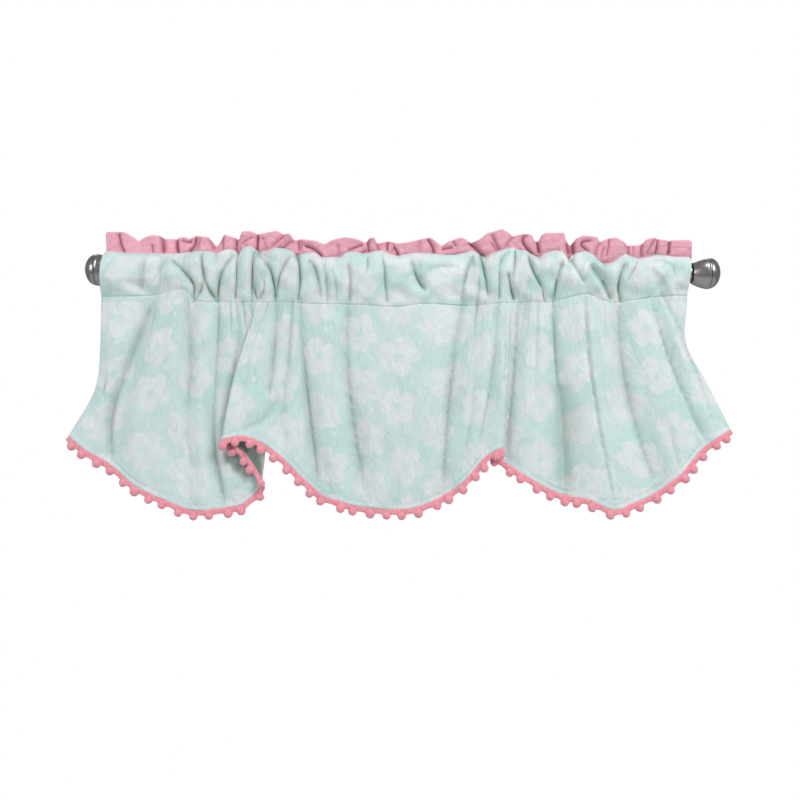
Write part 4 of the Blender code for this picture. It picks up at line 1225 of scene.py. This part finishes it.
finial = {
    "ringAt": 0.4086,           # from the middle of the rod
    "radius": 0.0208,
    "tip": 0.017,               # the dome's height over the ring
    "domeFoot": 0.0022,
    "neckLength": 0.021,
    "neckRadius": 0.0140,
    "neckCurve": 1.6,
    "collarRadius": 0.0100,
    "collarLength": 0.006,
    "ring": [                   # height over the ring's middle, rise over the radius
        (0.0016, -0.0007), (0.0011, 0.0), (0.0006, 0.0006), (0.0, 0.0006), (-0.0006, 0.00048),
        (-0.0011, 0.0),
    ],
    "ringFoot": 0.0014,
    "poleRadius": 0.0002,       # the tip and the collar's end are closed by a face this small
    "around": 96,
    "metalDeep": (0.265, 0.252, 0.244, 1),
    "metalPale": (0.360, 0.347, 0.338, 1),
}


def finialPoints(side):
    # a profile of radius against height, spun round the rod's axis: dome, raised ring with a
    # groove beside it, inner dome, neck and collar
    radius, tip, neck = finial["radius"], finial["tip"], finial["neckLength"]
    foot, ringFoot, pole = finial["domeFoot"], finial["ringFoot"], finial["poleRadius"]
    angle = np.linspace(0.02, math.pi / 2, 26)
    dome = np.stack([foot + (tip - foot) * np.cos(angle), radius * np.sin(angle)], axis=-1)
    ring = np.array(finial["ring"]) + (0.0, radius)
    share = np.linspace(0.0, 1.0, 18)[1:]
    inner = np.stack([-ringFoot - (neck - ringFoot) * share,
                      radius - (radius - finial["neckRadius"]) * share ** finial["neckCurve"]], axis=-1)
    collar, end = finial["collarRadius"], -neck - finial["collarLength"]
    ends = [(-neck - 0.0005, finial["neckRadius"] - 0.0006), (-neck - 0.001, collar), (end, collar),
            (end, pole)]
    heights, radii = np.concatenate([[(tip, pole)], dome, ring, inner, ends]).T
    turn = np.linspace(0, 2 * math.pi, finial["around"], endpoint=False)
    return np.stack([np.broadcast_to(side * (finial["ringAt"] + heights), (len(turn), len(heights))),
                     np.outer(np.cos(turn), radii) * side,
                     np.outer(np.sin(turn), radii)], axis=-1)


def makeFinial(name, side, node, material):
    mesh = gridMesh(name, finialPoints(side), around=True, capped=True)
    piece = putPiece(name, mesh, [material], "grey_metal", node)
    shape = bmesh.new()
    shape.from_mesh(mesh)
    bmesh.ops.recalc_face_normals(shape, faces=shape.faces)
    shape.to_mesh(mesh)
    shape.free()
    mesh.set_sharp_from_angle(angle=math.radians(50))
    return piece


def makeMetal():
    # satin grey metal: faint turning lines and a mottled finish
    material, tree = blank("grey metal")
    place = objectPlace(tree)
    lines = addNode(tree, "ShaderNodeMapping", {"Vector": place, "Scale": (1.0, 0.05, 0.05)}).outputs[0]
    turned = noiseAt(tree, lines, 2500.0, 2.0).outputs[0]
    mottle = noiseAt(tree, place, 260.0, 4.0).outputs[0]
    colour = blendColour(tree, mottle, finial["metalDeep"], finial["metalPale"])
    coverWith(tree, {"Base Color": colour, "Metallic": 1.0,
                     "Roughness": ramp(tree, mottle, 0.3, 0.7, 0.24, 0.36),
                     "Normal": bumpOf(tree, turned, 0.00006, 0.6)})
    return material


stage = {
    "floorAt": -1.25,
    "floorHalf": 2.4,
    "floorDepth": (-1.7, 1.2),
    "floor": {"Base Color": (0.86, 0.86, 0.85, 1), "Roughness": 0.8},
    "cameraAt": (-0.0027, -1.4, -0.1724),
    "lens": 46.9,
    "roll": -0.31,
    "ambient": 0.38,
    "ambientColour": (0.96, 0.98, 1.0, 1),
    "aimAt": (0.0, 0.0, -0.13),
    "lights": [                 # name, place, size, watts
        ("key", (1.5, -1.8, 1.35), 1.1, 41),
        ("top", (0.55, -1.15, 1.7), 0.45, 12),
        ("fill", (-1.9, -1.8, 0.5), 1.2, 21.5),
        ("back", (0.3, 1.6, 1.2), 1.4, 14),
    ],
}


def putOnStage(name, data):
    thing = bpy.data.objects.new(name, data)
    bpy.context.scene.collection.objects.link(thing)
    return thing


def makeFloor():
    half = stage["floorHalf"]
    corners = np.array([[(-half, depth, stage["floorAt"]), (half, depth, stage["floorAt"])]
                        for depth in stage["floorDepth"]])
    floor = putOnStage("floor", gridMesh("floor", corners))
    material, tree = blank("pale floor")
    coverWith(tree, stage["floor"])
    floor.data.materials.append(material)


def makeCamera():
    eye = bpy.data.cameras.new("camera")
    eye.lens = stage["lens"]
    eye.sensor_width = 36.0
    camera = putOnStage("camera", eye)
    camera.location = stage["cameraAt"]
    camera.rotation_euler = (math.radians(90), math.radians(stage["roll"]), 0)
    bpy.context.scene.camera = camera


def makeLights():
    for name, place, size, watts in stage["lights"]:
        lamp = bpy.data.lights.new(name, "AREA")
        lamp.size = size
        lamp.energy = watts
        light = putOnStage(name, lamp)
        light.location = place
        aim = Vector(stage["aimAt"]) - Vector(place)
        light.rotation_euler = aim.to_track_quat("-Z", "Y").to_euler()


def makeWorld():
    # a white room to the camera, a dimmer and cooler one to the cloth
    world = bpy.data.worlds.new("studio")
    bpy.context.scene.world = world
    world.use_nodes = True
    tree = world.node_tree
    tree.nodes.clear()
    path = addNode(tree, "ShaderNodeLightPath").outputs["Is Camera Ray"]
    seen = addNode(tree, "ShaderNodeBackground", {"Color": (1, 1, 1, 1), "Strength": 1.0})
    lit = addNode(tree, "ShaderNodeBackground", {"Color": stage["ambientColour"],
                                                 "Strength": stage["ambient"]})
    mixed = addNode(tree, "ShaderNodeMixShader", {0: path, 1: lit.outputs[0], 2: seen.outputs[0]})
    addNode(tree, "ShaderNodeOutputWorld", {"Surface": mixed.outputs[0]})
    bpy.context.scene.view_settings.view_transform = "Standard"


makeFloor()
makeCamera()
makeLights()
makeWorld()
print("stage ready")

plushSides = [makePlush(), makePlushBack()]
valanceSkirt = makeCloth("valanceSkirt", skirtPoints(), plushSides)
rodPocket = makeCloth("rodPocket", pocketPoints(), plushSides)
print("cloth ready")

points, uv, pressed = rufflePoints()
mesh = gridMesh("headerRuffle", points, uv, around=True, capped=True, pressed=pressed)
headerRuffle = putPiece("headerRuffle", mesh, [makeVelour()], "pink_velour", "header_ruffle")
print("ruffle ready")

points, uv = tapePoints()
trimTape = putPiece("trimTape", gridMesh("trimTape", points, uv, around=True, capped=True),
                    [makeYarn("coral tape", cutPlace)], "coral_trim", "pompom_trim")
pompoms = putPiece("pompoms", ballMesh("pompoms"), [makeYarn("coral pompoms", objectPlace)], "coral_trim")
print("trim ready")

greyMetal = makeMetal()
for name, side, node in (("finialLeft", -1, "finial_left"), ("finialRight", 1, "finial_right")):
    makeFinial(name, side, node, greyMetal)
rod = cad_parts["rod"]
rod.data.materials.clear()
rod.data.materials.append(greyMetal)
print("rod ready")
